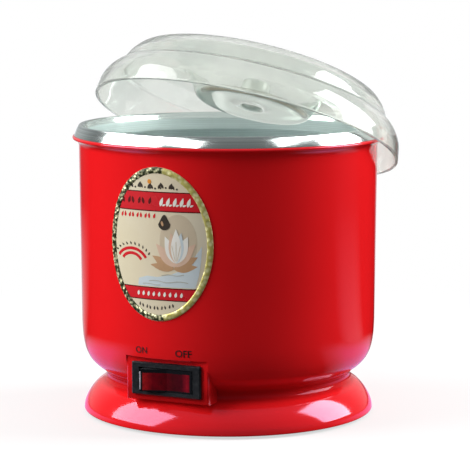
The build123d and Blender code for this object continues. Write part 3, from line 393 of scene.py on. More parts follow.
def arc3(a, b, c, seg=6):
    ax, ay = a; bx, by = b; cx, cy = c
    d = 2 * (ax * (by - cy) + bx * (cy - ay) + cx * (ay - by))
    ux = ((ax * ax + ay * ay) * (by - cy) + (bx * bx + by * by) * (cy - ay) + (cx * cx + cy * cy) * (ay - by)) / d
    uy = ((ax * ax + ay * ay) * (cx - bx) + (bx * bx + by * by) * (ax - cx) + (cx * cx + cy * cy) * (bx - ax)) / d
    r = math.hypot(ax - ux, ay - uy)
    t0 = math.atan2(ay - uy, ax - ux); t1 = math.atan2(by - uy, bx - ux); t2 = math.atan2(cy - uy, cx - ux)
    def unwrap(t, ref):
        while t - ref > pi: t -= 2 * pi
        while t - ref < -pi: t += 2 * pi
        return t
    t1 = unwrap(t1, t0); t2 = unwrap(t2, t1)
    return [(ux + r * cos(t0 + (t2 - t0) * k / seg), uy + r * sin(t0 + (t2 - t0) * k / seg)) for k in range(seg + 1)]


def clean(path):
    out = [path[0]]
    for p in path[1:]:
        if math.hypot(p[0] - out[-1][0], p[1] - out[-1][1]) > 1e-4:
            out.append(p)
    if math.hypot(out[0][0] - out[-1][0], out[0][1] - out[-1][1]) < 1e-4:
        out.pop()
    return out


def lathe(name, path, segs=192, matrix=None, mat=None, sharp=32, closed=True):
    """closed section (r, z in mm) turned about Z; points on the axis become poles"""
    path = clean(path)
    me = bpy.data.meshes.new(name)
    bm = bmesh.new()
    rows = []
    for r, z in path:
        if r < 1e-6:
            rows.append([bm.verts.new((0, 0, z * MM))])
        else:
            rows.append([bm.verts.new((r * cos(2 * pi * k / segs) * MM, r * sin(2 * pi * k / segs) * MM, z * MM)) for k in range(segs)])
    nrow = len(rows)
    for i in range(nrow if closed else nrow - 1):
        a = rows[i]; b = rows[(i + 1) % nrow]
        if len(a) == 1 and len(b) == 1:
            continue
        for k in range(segs):
            k2 = (k + 1) % segs
            if len(a) == 1:
                bm.faces.new((a[0], b[k2], b[k]))
            elif len(b) == 1:
                bm.faces.new((a[k], a[k2], b[0]))
            else:
                bm.faces.new((a[k], a[k2], b[k2], b[k]))
    bmesh.ops.recalc_face_normals(bm, faces=bm.faces)
    if matrix is not None:
        bmesh.ops.transform(bm, matrix=matrix, verts=bm.verts)
    bm.to_mesh(me)
    bm.free()
    obj = bpy.data.objects.new(name, me)
    coll.objects.link(obj)
    if mat:
        setmat(obj, mat, sharp)
    return obj


def box_mesh(name, lo, hi, bevel=0.0, segs=3, edges=None):
    me = bpy.data.meshes.new(name)
    bm = bmesh.new()
    bmesh.ops.create_cube(bm, size=1.0)
    c = [(a + b) / 2 for a, b in zip(lo, hi)]
    d = [b - a for a, b in zip(lo, hi)]
    for v in bm.verts:
        v.co = Vector([(c[i] + v.co[i] * d[i]) * MM for i in range(3)])
    if bevel:
        sel = [e for e in bm.edges if edges is None or edges(e)]
        bmesh.ops.bevel(bm, geom=sel, offset=bevel * MM, segments=segs, profile=0.5, affect="EDGES", clamp_overlap=True)
    bmesh.ops.recalc_face_normals(bm, faces=bm.faces)
    bm.to_mesh(me)
    bm.free()
    o = bpy.data.objects.new(name, me)
    coll.objects.link(o)
    return o


def boolean(obj, tool, op):
    md = obj.modifiers.new("b", "BOOLEAN")
    md.operation = op
    md.solver = "EXACT"
    md.object = tool
    bpy.context.view_layer.update()
    dg = bpy.context.evaluated_depsgraph_get()
    me = bpy.data.meshes.new_from_object(obj.evaluated_get(dg))
    obj.modifiers.clear()
    old = obj.data
    obj.data = me
    bpy.data.meshes.remove(old)
    bpy.data.objects.remove(tool)


# ------------------------------------------------------------------ red shell
UP = 1.0
flare = [(63.5, 1.5), (63.2, 3.6), (62.5, 5.5), (61.5, 7.4), (60.0, 9.6), (58.0, 11.8), (56.3, 13.1), (54.9, 14.1)]
under = [(54.5, 18.5), (55.6, 19.7), (57.5, 21.1), (59.0, 22.4), (60.3, 23.8), (61.5, 25.6), (62.9, 29.0), (63.9, 34.5), (64.25, 41.0)]
flare_in = [(61.1, 1.5), (60.9, 3.2), (60.25, 4.9), (59.3, 6.6), (58.0, 8.3), (56.3, 10.0), (54.6, 11.3), (53.3, 12.2)]
under_in = [(52.5, 19.9), (54.2, 21.8), (56.0, 23.0), (57.4, 24.2), (58.6, 25.6), (59.6, 27.2), (60.7, 30.2), (61.5, 35.3), (61.85, 41.0)]
LIP_Z = 121.25


def seg(a, b, n):
    return [(a[0] + (b[0] - a[0]) * k / n, a[1] + (b[1] - a[1]) * k / n) for k in range(n + 1)]


shell_path = [(61.4, 1.0), (63.0, 1.0), (63.32, 1.12)] + catmull(flare, 5) + arc3(flare[-1], (53.5, 16.2), under[0], 8) + catmull(under, 5) \
    + seg(under[-1], (65.0, 116.3), 12) + arc3((65.0, 116.3), (65.55, 118.5), (67.0, 119.7), 6) + arc3((67.0, 119.7), (67.8, 120.5), (67.2, LIP_Z), 8) \
    + [(66.4, LIP_Z), (63.8, LIP_Z), (63.6, 121.15), (62.6, 119.6)] + seg((62.6, 118.0), under_in[-1], 6) + catmull(under_in[::-1], 4) \
    + arc3(under_in[0], (51.1, 16.0), flare_in[-1], 6) + catmull(flare_in[::-1], 4) + [(61.1, 1.3)]
# painted shade in the waist groove: between z 13 and 22 mm the red's base colour is scaled down to 55 % and its
# specular level cut, standing for the shade that falls in the crease
nt_r = M_RED.node_tree
b_r = nt_r.nodes["Principled BSDF"]
tcg = nt_r.nodes.new("ShaderNodeTexCoord")
sg = nt_r.nodes.new("ShaderNodeSeparateXYZ")
nt_r.links.new(tcg.outputs["Object"], sg.inputs[0])
gz = nt_r.nodes.new("ShaderNodeMapRange")
gz.inputs["From Min"].default_value = 0.0130
gz.inputs["From Max"].default_value = 0.0222
nt_r.links.new(sg.outputs["Z"], gz.inputs["Value"])
gr = nt_r.nodes.new("ShaderNodeValToRGB")
ge = gr.color_ramp.elements
ge[0].position = 0.0; ge[0].color = (1, 1, 1, 1)
ge[1].position = 1.0; ge[1].color = (1, 1, 1, 1)
e1_ = ge.new(0.14); e1_.color = (0.25, 0.25, 0.25, 1)
e2_ = ge.new(0.55); e2_.color = (0.10, 0.10, 0.10, 1)
nt_r.links.new(gz.outputs["Result"], gr.inputs["Fac"])
gm = nt_r.nodes.new("ShaderNodeMath"); gm.operation = "MULTIPLY"; gm.inputs[1].default_value = 0.72
nt_r.links.new(gr.outputs["Color"], gm.inputs[0])
nt_r.links.new(gm.outputs[0], b_r.inputs["Specular IOR Level"])
old_c = b_r.inputs["Base Color"].links[0].from_socket
groove_shade_scale = nt_r.nodes.new("ShaderNodeMapRange")
groove_shade_scale.inputs["To Min"].default_value = 0.55
nt_r.links.new(gr.outputs["Color"], groove_shade_scale.inputs["Value"])
mc = nt_r.nodes.new("ShaderNodeVectorMath"); mc.operation = "SCALE"
nt_r.links.new(old_c, mc.inputs[0]); nt_r.links.new(groove_shade_scale.outputs["Result"], mc.inputs["Scale"])
nt_r.links.new(mc.outputs["Vector"], b_r.inputs["Base Color"])
shell = lathe("red_shell_mesh", shell_path, 224, None, None)
boolean(shell, box_mesh("t1", (-19.0, -72, 13.8), (19.0, -60.0, 32.6)), "DIFFERENCE")
pad = box_mesh("t2", (-19.0, -60.0, 13.8), (19.0, -50.6, 32.6), 0.9, 3, lambda e: all(v.co.y < -0.0599 for v in e.verts) or (abs(e.verts[0].co.x - e.verts[1].co.x) < 1e-6 and abs(e.verts[0].co.z - e.verts[1].co.z) > 1e-3))
boolean(shell, pad, "UNION")
boolean(shell, box_mesh("t3", (-16.6, -57.6, 16.0), (16.6, -48.0, 30.4)), "DIFFERENCE")
boolean(shell, box_mesh("t4", (-14.4, -70, 17.3), (14.4, -45.0, 29.3)), "DIFFERENCE")
boss = lathe("t5", [(0, 0), (8.2, 0), (8.2, 5.5), (7.9, 6.0), (7.4, 6.2), (0, 6.2)], 48, Matrix.Translation((0, 59 * MM, 27 * MM)) @ Matrix.Rotation(rad(-90), 4, "X"))
boolean(shell, boss, "UNION")
hole = lathe("t6", [(0, 0), (4.6, 0), (4.6, 22), (0, 22)], 48, Matrix.Translation((0, 50 * MM, 27 * MM)) @ Matrix.Rotation(rad(-90), 4, "X"))
boolean(shell, hole, "DIFFERENCE")
# four screw bosses inside
for k in range(4):
    a = rad(45 + 90 * k)
    bz = lathe("t7", [(0, 0), (3.6, 0), (3.6, 17), (0, 17)], 24, Matrix.Translation((46.5 * cos(a) * MM, 46.5 * sin(a) * MM, 5.25 * MM)))
    boolean(shell, bz, "UNION")
setmat(shell, M_RED, 26)
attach(shell, "pot")
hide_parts("outer_body")

# ------------------------------------------------------------------ spun bowl
bowl_path = seg((0.0, 47.2), (48.6, 47.2), 6) + arc3((48.6, 47.2), (56.2, 50.1), (59.45, 58.0), 10) + seg((59.45, 58.0), (60.4, 118.0), 10) \
    + catmull([(60.4, 118.0), (60.55, 118.9), (61.6, 121.2), (62.9, 123.8), (63.4, 124.9), (63.85, 125.65), (64.45, 126.05), (65.0, 125.75), (65.42, 125.05), (65.9, 124.1), (66.4, 122.9), (66.8, 121.9), (67.0, 121.35)], 5) \
    + [(66.9, 121.28), (66.2, 121.28), (66.0, 121.35)] + catmull([(65.95, 121.5), (65.4, 122.8), (64.9, 123.9), (64.5, 124.3), (64.1, 123.5), (62.9, 121.0), (61.75, 118.7), (61.6, 118.0)], 3) \
    + seg((61.6, 117.0), (60.65, 57.9), 8) + arc3((60.65, 57.9), (57.05, 49.25), (48.6, 46.0), 8) + seg((48.6, 46.0), (0.0, 46.0), 5)
bowl = lathe("bowl_mesh", bowl_path, 224, None, M_ALU, 40)
# inward-facing wall faces and the top of the floor take the darker copy, painted shade inside the bowl
bowl.data.materials.append(M_ALU_IN_SHADED)
for p in bowl.data.polygons:
    c = p.center
    rr = math.hypot(c.x, c.y) / MM
    if p.normal.dot(Vector((c.x, c.y, 0))) < 0 and 46.6 < c.z / MM < 123.4 and rr < 62.6 or (c.z / MM > 46.6 and c.z / MM < 49.0 and p.normal.z > 0.5):
        p.material_index = 1
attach(bowl, "pot")
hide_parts("wax_bowl")

# ------------------------------------------------------------------ clear lid
LT, LD = rad(22.2), rad(77.9)
u = Vector((cos(LD), sin(LD), 0))
ln = u * sin(LT) + Vector((0, 0, cos(LT)))
e1 = u * cos(LT) - Vector((0, 0, sin(LT)))
e2 = ln.cross(e1)
lo = u * (12.9 * MM) + Vector((0, 0, 122.3 * MM))
LM = Matrix(((e1.x, e2.x, ln.x, lo.x), (e1.y, e2.y, ln.y, lo.y), (e1.z, e2.z, ln.z, lo.z), (0, 0, 0, 1)))
lid_path = [(67.1, 0.0), (67.9, 0.0), (68.2, 0.15)] + catmull([(68.3, 0.5), (67.85, 4.0), (67.35, 6.8), (66.4, 9.3), (65.0, 11.6), (63.3, 13.6), (61.75, 14.95), (61.3, 15.25)], 5) \
    + [(60.7, 15.5), (60.25, 15.72)] + catmull([(60.05, 16.0), (59.5, 17.4), (57.6, 21.0), (54.4, 24.5), (50.4, 26.4), (45.5, 26.95), (40.5, 26.75), (36.0, 26.0), (32.2, 24.7), (29.6, 22.6), (28.0, 19.8)], 6) \
    + seg((28.0, 19.8), (24.9, 14.2), 4) + arc3((24.9, 14.2), (24.0, 12.7), (22.3, 12.1), 6) + seg((22.3, 12.1), (9.6, 12.1), 4) + arc3((9.6, 12.1), (7.6, 13.0), (6.8, 15.0), 6) \
    + seg((6.8, 15.0), (6.2, 24.6), 5) + arc3((6.2, 24.6), (5.5, 25.9), (4.1, 26.3), 6) + [(2.0, 26.3), (0.0, 26.3), (0.0, 24.3), (2.0, 24.3), (3.6, 24.25), (3.9, 24.0)] \
    + seg((3.95, 23.6), (4.7, 11.6), 5) + arc3((4.7, 11.6), (5.2, 10.5), (6.3, 10.1), 5) + seg((6.3, 10.1), (22.9, 10.1), 4) + arc3((22.9, 10.1), (25.3, 11.0), (26.8, 13.2), 6) \
    + seg((26.8, 13.2), (29.9, 18.8), 4) + catmull([(29.9, 18.8), (31.1, 21.1), (33.0, 22.8), (36.4, 24.0), (40.7, 24.75), (45.4, 24.95), (49.9, 24.4), (53.4, 22.7), (56.1, 19.9), (57.7, 16.9), (58.4, 15.3)], 6) \
    + [(58.8, 14.75), (59.5, 14.3)] + catmull([(60.5, 13.75), (62.2, 12.1), (63.8, 10.2), (65.0, 8.2), (65.85, 6.1), (66.45, 3.4), (66.95, 0.3)], 4)
lid = lathe("lid_mesh", lid_path, 224, LM, M_LID, 34)
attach(lid, "lid")
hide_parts("lid")


# ------------------------------------------------------------------ things printed or stuck on the wall
def wall_r(z):
    if z >= 41.0:
        return 64.25 + (z - 41.0) / 75.3 * 0.75
    return 63.9 + (z - 34.5) / 6.5 * 0.35


def wall_point(s, z, off, turn=0.0):
    r = wall_r(z)
    a = rad(turn) + s / r
    return Vector(((r + off) * sin(a) * MM, -(r + off) * cos(a) * MM, z * MM))


def decal(name, polys, mat, off, thick=0.06, turn=-1.7, zc=80.9, body="pot"):
    """closed thin pieces bent onto the wall; polys are outlines (s, t) in mm"""
    bm = bmesh.new()
    for poly in polys:
        loops = poly if isinstance(poly[0], list) else [poly]
        pts = [Vector((p[0], p[1], 0)) for lp in loops for p in lp]
        tris = mgeo.tessellate_polygon([[Vector((p[0], p[1], 0)) for p in lp] for lp in loops])
        vs = [bm.verts.new(p) for p in pts]
        for t in tris:
            try:
                bm.faces.new([vs[i] for i in t])
            except ValueError:
                pass
    bmesh.ops.remove_doubles(bm, verts=bm.verts, dist=1e-5)
    x = -24.0
    while x < 24.0:
        bmesh.ops.bisect_plane(bm, geom=bm.verts[:] + bm.edges[:] + bm.faces[:], plane_co=(x, 0, 0), plane_no=(1, 0, 0), dist=1e-6)
        x += 1.5
    bmesh.ops.dissolve_degenerate(bm, edges=bm.edges, dist=1e-6)
    for f in bm.faces:
        if f.normal.z < 0:
            f.normal_flip()
    top = {}
    base = list(bm.verts)
    ext = bmesh.ops.extrude_face_region(bm, geom=bm.faces[:])
    new = [v for v in ext["geom"] if isinstance(v, bmesh.types.BMVert)]
    newset = set(new)
    for v in bm.verts:
        h = off + (thick if v in newset else 0.0)
        v.co = wall_point(v.co.x, zc + v.co.y, h, turn)
    bmesh.ops.recalc_face_normals(bm, faces=bm.faces)
    me = bpy.data.meshes.new(name)
    bm.to_mesh(me)
    bm.free()
    o = bpy.data.objects.new(name, me)
    coll.objects.link(o)
    setmat(o, mat, 30)
    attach(o, body)
    return o


def ellipse(a, b, n=96, cx=0.0, cy=0.0, rot=0.0):
    out = []
    for k in range(n):
        t = 2 * pi * k / n
        x, y = a * cos(t), b * sin(t)
        out.append((cx + x * cos(rot) - y * sin(rot), cy + x * sin(rot) + y * cos(rot)))
    return out


def band(a, b, t0, t1, n=24):
    """slice of the oval between two heights"""
    right = []
    for k in range(n + 1):
        y = t0 + (t1 - t0) * k / n
        right.append((a * math.sqrt(max(0, 1 - (y / b) ** 2)), y))
    return right + [(-x, y) for x, y in right[::-1]]


def strip(pts, w):
    """ribbon of width w along a line of points"""
    L, R = [], []
    for i, p in enumerate(pts):
        q0 = pts[max(0, i - 1)]; q1 = pts[min(len(pts) - 1, i + 1)]
        d = Vector((q1[0] - q0[0], q1[1] - q0[1]))
        d.normalize()
        ww = w(i / (len(pts) - 1)) if callable(w) else w
        L.append((p[0] - d.y * ww / 2, p[1] + d.x * ww / 2))
        R.append((p[0] + d.y * ww / 2, p[1] - d.x * ww / 2))
    return L + R[::-1]


def petal(cx, cy, ang, length, width, n=14):
    out = []
    for side in (1, -1):
        rng = range(n + 1) if side == 1 else range(n - 1, 0, -1)
        for k in rng:
            t = k / n
            w = width / 2 * sin(pi * t ** 0.8) * side
            x, y = length * t, w
            out.append((cx + x * cos(ang) - y * sin(ang), cy + x * sin(ang) + y * cos(ang)))
    return out


LA, LB = 24.3, 32.1
IA, IB = 21.7, 29.4
cm = Mat("label_cream", Roughness=0.22)
tcc = cm.n("ShaderNodeTexCoord")
spc = cm.n("ShaderNodeSeparateXYZ")
cm.link(tcc.outputs["Object"], spc.inputs[0])
side_mix = cm.maprange(spc.outputs["X"], 0.0, 1.0, -0.018, 0.020)
cream = cm.ramp(side_mix, [(0.0, (0.74, 0.66, 0.47)), (0.45, (0.76, 0.66, 0.48)), (1.0, (0.70, 0.62, 0.47))])
cm.to(cm.mix(cm.maprange(cm.noise(70, 5), 0.0, 0.25, 0.35, 0.7), cream, (0.80, 0.76, 0.64)), "Base Color")
cm.to(cm.maprange(cm.noise(40, 4), 0.18, 0.30), "Roughness")
cm.to(cm.bump(cm.noise(3200, 2), 0.06, 0.00002), "Normal")
M_CREAM = cm.m
M_LWATER = ink("label_water", (0.66, 0.74, 0.78), 0.25, 0.86, 40)
M_LPEACH = ink("label_peach", (0.80, 0.56, 0.42), 0.25, 0.85, 90)
M_LORANGE = ink("label_orange", (0.80, 0.30, 0.04), 0.25, 0.85, 200)
M_LDARK2 = ink("label_maroon", (0.13, 0.010, 0.010), 0.25, 0.75, 200)
M_LRED = ink("label_red", (0.50, 0.010, 0.020), 0.22, 0.85, 120)
M_LRED2 = ink("label_red_bright", (0.70, 0.016, 0.026), 0.25, 0.9, 160)
M_LWHITE = ink("label_white", (0.90, 0.88, 0.82), 0.25, 0.92, 120)
M_LDARK = ink("label_dark", (0.06, 0.045, 0.035), 0.3, 0.6, 200)
M_LTAN = ink("label_tan", (0.60, 0.36, 0.20), 0.3, 0.80, 90)
M_LTAN2 = ink("label_sand", (0.66, 0.55, 0.40), 0.3, 0.88, 40)
M_LGREY = ink("label_grey", (0.50, 0.50, 0.44), 0.3, 0.85, 70)
M_GOLD_L = gold_rope("gold_glitter", (0.035, 0.045, 0.012), (0.86, 0.84, 0.50), 0.34, 760)
M_GOLD_R = gold_rope("gold_satin", (0.62, 0.56, 0.16), (0.95, 0.90, 0.48), 0.34, 520)

base = decal("label_sticker", [ellipse(LA, LB, 144)], M_CREAM, 0.03, 0.22)
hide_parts("front_label")
decal("label_band_top", [band(IA, IB, 14.1, 21.5)], M_LRED2, 0.25)
decal("label_band_low", [band(IA, IB, -23.0, -18.4)], M_LRED2, 0.25)
decal("label_lines", [band(IA, IB, 21.5, 21.95, 2), band(IA, IB, 13.65, 14.1, 2), band(IA, IB, -18.4, -17.95, 2), band(IA, IB, -23.4, -23.0, 2)], M_LDARK2, 0.25)

# raised rope round the oval: glitter on the left half, satin on the right
def rope():
    bm = bmesh.new()
    n, mseg = 520, 10
    rings = []
    for k in range(n):
        t = 2 * pi * k / n
        nx, ny = cos(t) / LA, sin(t) / LB
        L = math.hypot(nx, ny)
        nx, ny = nx / L, ny / L
        cx, cy = (LA + IA) / 2 * cos(t), (LB + IB) / 2 * sin(t)
        ring = []
        for j in range(mseg + 1):
            q = pi * j / mseg
            twist = 0.13 * sin(62 * t + 2.6 * (q - pi / 2)) if cos(t) < 0.12 else 0.03 * sin(40 * t)
            w = 1.30 * cos(q)
            h = 0.20 + (0.50 + twist) * sin(q) ** 0.8
            s, z = cx + nx * w, cy + ny * w
            ring.append(bm.verts.new(wall_point(s, 80.9 + z, h, -1.7)))
        rings.append(ring)
    bottom = []
    for k in range(n):
        a, b = rings[k], rings[(k + 1) % n]
        t = 2 * pi * (k + 0.5) / n
        mi = 0 if cos(t) < 0.12 else 1
        for j in range(mseg):
            f = bm.faces.new((a[j], a[j + 1], b[j + 1], b[j]))
            f.material_index = mi
        f = bm.faces.new((a[mseg], a[0], b[0], b[mseg]))
        f.material_index = mi
    bmesh.ops.recalc_face_normals(bm, faces=bm.faces)
    me = bpy.data.meshes.new("label_rope")
    bm.to_mesh(me)
    bm.free()
    o = bpy.data.objects.new("label_rope", me)
    coll.objects.link(o)
    me.materials.append(M_GOLD_L)
    me.materials.append(M_GOLD_R)
    for p in me.polygons:
        p.use_smooth = True
    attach(o, "pot")


rope()

# generic ornaments in place of print: a leaf garland, dots, a water lily, a drop, two arcs
gar = []
for k in range(9):
    x = -11.6 + k * 2.45
    y = 24.3 + 0.25 * sin(k * 1.3)
    gar.append(petal(x, y - 1.2, rad(58 if k % 2 else 122), 2.9, 1.15, 8))
    gar.append(ellipse(0.42, 0.42, 12, x + 1.15, y - 0.9))
decal("label_garland", gar, M_LDARK, 0.25)
decal("label_garland_bud", [ellipse(0.9, 0.95, 20, -3.4, 26.0)], M_LORANGE, 0.33)
dk, wt = [], []
for k in range(6):
    dk.append(petal(-16.6 + k * 2.6, 16.6, rad(75 if k % 2 else 105), 3.0, 1.3, 8))
for k in range(5):
    x = 1.6 + k * 3.0
    wt += [petal(x, 15.9, rad(72), 4.0, 1.5, 10), petal(x + 0.9, 16.2, rad(20), 1.8, 0.8, 8)]
decal("label_band_dark", dk, M_LDARK2, 0.32)
decal("label_band_white", wt, M_LWHITE, 0.32)
decal("label_low_dots", [petal(-9.4 + k * 2.5, -21.8, rad(80), 2.2, 1.15, 8) for k in range(9)], M_LWHITE, 0.32)
decal("label_red_diamonds", [petal(-18.0 + k * 2.05, 10.7, rad(90 if k % 2 else 70), 2.3, 1.1, 8) for k in range(9)], M_LRED2, 0.25)
decal("label_foot_marks", [petal(-8.6 + k * 1.75, -26.0 - 1.5 * sin(pi * (k + 0.3) / 9.5), rad(85 + 20 * (k % 2)), 1.7, 0.75, 8) for k in range(10)], M_LDARK, 0.25)
# the picture on the right: still water, lily and a drop of wax
water = [(-9.5, -17.6), (-9.0, -14.6), (-5.0, -13.4), (0.0, -13.6), (6.0, -12.4), (11.0, -10.2), (14.5, -7.0), (17.6, -3.0), (19.6, 0.0), (19.2, -6.0), (18.3, -12.0), (17.0, -16.5), (16.6, -17.6)]
decal("label_water", [water], M_LWATER, 0.25, 0.04)
decal("label_glow", [ellipse(8.2, 11.6, 64, 9.4, 1.2)], M_LTAN2, 0.25, 0.03)
fl = [petal(7.6, -10.0, rad(a), L, w) for a, L, w in ((8, 10.2, 3.6), (172, 11.0, 3.4), (28, 11.6, 4.4), (152, 11.2, 4.2))]
for k, p in enumerate(fl):
    decal("label_lily_outer%d" % k, [p], M_LTAN, 0.29 + 0.012 * k, 0.03)
for k, (a, L, w) in enumerate(((48, 13.4, 5.0), (132, 12.6, 4.8), (62, 12.0, 4.4))):
    decal("label_lily_mid%d" % k, [petal(8.0, -9.0, rad(a), L, w)], M_LPEACH, 0.345 + 0.012 * k, 0.03)
for k, (a, L, w, mt) in enumerate(((66, 12.6, 5.0, M_LWHITE), (114, 12.2, 4.8, M_LWHITE), (80, 13.2, 4.4, M_LWATER), (100, 13.0, 4.4, M_LPEACH), (90, 14.6, 4.6, M_LWHITE))):
    decal("label_lily_inner%d" % k, [petal(8.6, -7.6, rad(a), L, w)], mt, 0.39 + 0.014 * k, 0.03)
for k, (x0, y0, a, L) in enumerate(((8.6, -6.5, 90, 8.0), (8.2, -6.5, 103, 6.5), (9.0, -6.5, 77, 6.5))):
    decal("label_lily_vein%d" % k, [strip([(x0 + L * t / 6 * cos(rad(a)), y0 + L * t / 6 * sin(rad(a))) for t in range(7)], 0.22)], M_LTAN2, 0.486 + 0.01 * k, 0.02)
decal("label_ripples", [strip([(-4.0 + 1.6 * k, -15.4 + 0.35 * sin(k * 0.9)) for k in range(12)], 0.30), strip([(2.0 + 1.4 * k, -12.9 + 0.35 * sin(k * 0.9) + 0.11 * k) for k in range(8)], 0.28), strip([(-7.0 + 1.4 * k, -16.7 + 0.2 * sin(k)) for k in range(7)], 0.28)], M_LGREY, 0.32)
drop = []
for k in range(40):
    t = 2 * pi * k / 40
    drop.append((3.4 + 2.7 * cos(t) * (1 - 0.35 * max(0, sin(t))), 8.6 + (2.5 * sin(t) if sin(t) < 0 else 3.9 * sin(t) ** 1.5)))
decal("label_drop", [drop], M_LDARK, 0.34)
decal("label_drop_glint", [ellipse(0.55, 1.1, 16, 2.5, 8.8, 0.3)], M_LTAN, 0.42)
decal("label_arcs", [strip([(-12.8 + Rr * cos(rad(a)), -8.6 + Rr * 0.78 * sin(rad(a))) for a in range(24, 157, 8)], 1.25) for Rr in (5.4, 8.0)], M_LRED2, 0.25)
decal("label_arc_dots", [petal(-12.8 + 9.9 * cos(rad(a)), -8.6 + 9.9 * 0.78 * sin(rad(a)), rad(a + 30), 1.5, 0.7, 8) for a in range(30, 156, 12)], M_LDARK, 0.25)


# ------------------------------------------------------------------ switch legend
def legend(txt, s, z, h):
    cu = bpy.data.curves.new("legend_" + txt.lower(), "FONT")
    cu.body = txt
    cu.size = h * 1.42
    cu.align_x = "CENTER"
    cu.align_y = "CENTER"
    cu.extrude = 0.05
    cu.offset = 0.05
    tmp = bpy.data.objects.new("tmp", cu)
    coll.objects.link(tmp)
    bpy.context.view_layer.update()
    me = bpy.data.meshes.new_from_object(tmp.evaluated_get(bpy.context.evaluated_depsgraph_get()))
    bpy.data.objects.remove(tmp)
    for v in me.vertices:
        v.co = wall_point(s + v.co.x, z + v.co.y, 0.05 + v.co.z + 0.02, 0.0)
    o = bpy.data.objects.new("legend_" + txt.lower(), me)
    coll.objects.link(o)
    setmat(o, M_INK, 30)
    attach(o, "pot")


M_INK = ink("legend_ink", (0.045, 0.006, 0.008), 0.4, 0.7, 400)
legend("ON", -10.3, 35.6, 2.7)
legend("OFF", 9.2, 35.4, 2.9)
# painted highlight: a thin pale strip along the raised end of the rocker, standing for the light its edge catches
edge = box_mesh("rocker_painted_highlight", (-0.30, -0.12, -3.9), (0.30, 0.12, 3.7), 0.09, 2)
em = Matrix.Translation((-10.0 * MM, -65.30 * MM, 23.3 * MM)) @ Matrix.Rotation(rad(18.0), 4, "Z")
for v in edge.data.vertices:
    v.co = em @ v.co
setmat(edge, M_ROCKER_HIGHLIGHT, 30)
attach(edge, "rocker")


# ------------------------------------------------------------------ stage
AZ = rad(25.0)
F = Vector((-sin(AZ), cos(AZ), 0))
R = Vector((cos(AZ), sin(AZ), 0))


def plane(name, size, loc, rot=(0, 0, 0)):
    me = bpy.data.meshes.new(name)
    s = size / 2
    me.from_pydata([(-s, -s, 0), (s, -s, 0), (s, s, 0), (-s, s, 0)], [], [(0, 1, 2, 3)])
    o = bpy.data.objects.new(name, me)
    o.location = loc
    o.rotation_euler = rot
    coll.objects.link(o)
    return o


floor = plane("floor", 14.0, (0, 0, -0.0002))
fm = Mat("floor_pale", Roughness=0.7)
fm.b.inputs["Specular IOR Level"].default_value = 0.2
lp = fm.n("ShaderNodeLightPath")
seen = fm.n("ShaderNodeMath", operation="MAXIMUM")
fm.link(lp.outputs["Is Camera Ray"], seen.inputs[0])
tds = fm.n("ShaderNodeMath", operation="MINIMUM")
tds.inputs[1].default_value = 0.92
fm.link(lp.outputs["Transmission Depth"], tds.inputs[0])
fm.link(tds.outputs[0], seen.inputs[1])
pale = fm.ramp(fm.noise(3, 4), [(0.3, (0.90, 0.90, 0.90)), (0.7, (0.93, 0.93, 0.93))])
fm.to(fm.mix(seen.outputs[0], (0.12, 0.12, 0.12), pale), "Base Color")
geo = fm.n("ShaderNodeNewGeometry")
ln_ = fm.n("ShaderNodeVectorMath", operation="LENGTH")
fm.link(geo.outputs["Position"], ln_.inputs[0])
far = fm.maprange(ln_.outputs["Value"], 0.62, 1.0, 0.075, 0.34)
farseen = fm.n("ShaderNodeMath", operation="MULTIPLY")
fm.link(far, farseen.inputs[0])
fm.link(seen.outputs[0], farseen.inputs[1])
# what the glossy wall mirrors from the table behind it, to the left and the right
nrm = fm.n("ShaderNodeVectorMath", operation="NORMALIZE")
fm.link(geo.outputs["Position"], nrm.inputs[0])


def table_patch(az, lo, hi, amount):
    dirv = (-F) * cos(rad(az)) + R * sin(rad(az))
    dp = fm.n("ShaderNodeVectorMath", operation="DOT_PRODUCT")
    dp.inputs[1].default_value = (dirv.x, dirv.y, 0)
    fm.link(nrm.outputs["Vector"], dp.inputs[0])
    return fm.maprange(dp.outputs["Value"], 0.0, amount, lo, hi)


pl = table_patch(-166, 0.80, 0.97, 0.75)
pr = table_patch(101, 0.955, 0.995, 0.45)
addp = fm.n("ShaderNodeMath", operation="ADD")
fm.link(pl, addp.inputs[0]); fm.link(pr, addp.inputs[1])
near = fm.maprange(ln_.outputs["Value"], 1.0, 0.08, 0.15, 0.75)
mul0 = fm.n("ShaderNodeMath", operation="MULTIPLY")
fm.link(addp.outputs[0], mul0.inputs[0]); fm.link(near, mul0.inputs[1])
mulp = fm.n("ShaderNodeMath", operation="ADD")
fm.link(mul0.outputs[0], mulp.inputs[0]); fm.link(table_patch(180, 0.90, 0.985, 0.85), mulp.inputs[1])
# the lit table close to either side of the foot, seen in the turned-under part of the wall
dcam = fm.n("ShaderNodeVectorMath", operation="DOT_PRODUCT")
dcam.inputs[1].default_value = (-F.x, -F.y, 0)
fm.link(nrm.outputs["Vector"], dcam.inputs[0])
sides = fm.maprange(dcam.outputs["Value"], 1.0, 0.0, 0.10, 0.50)
close = fm.maprange(ln_.outputs["Value"], 1.0, 0.0, 0.13, 0.20)
notback = fm.maprange(dcam.outputs["Value"], 0.0, 1.0, -0.88, -0.62)
sc0 = fm.n("ShaderNodeMath", operation="MULTIPLY")
fm.link(sides, sc0.inputs[0]); fm.link(notback, sc0.inputs[1])
sc_ = fm.n("ShaderNodeMath", operation="MULTIPLY")
fm.link(sc0.outputs[0], sc_.inputs[0]); fm.link(close, sc_.inputs[1])
mulq = fm.n("ShaderNodeMath", operation="MAXIMUM")
fm.link(mulp.outputs[0], mulq.inputs[0]); fm.link(sc_.outputs[0], mulq.inputs[1])
mulp = mulq
em_far = fm.n("ShaderNodeEmission")
em_far.inputs["Strength"].default_value = 1.0
em_gl = fm.n("ShaderNodeEmission")
fm.link(fm.mix(sc_.outputs[0], (0.92, 0.95, 1.0), (0.92, 0.48, 0.95)), em_gl.inputs["Color"])
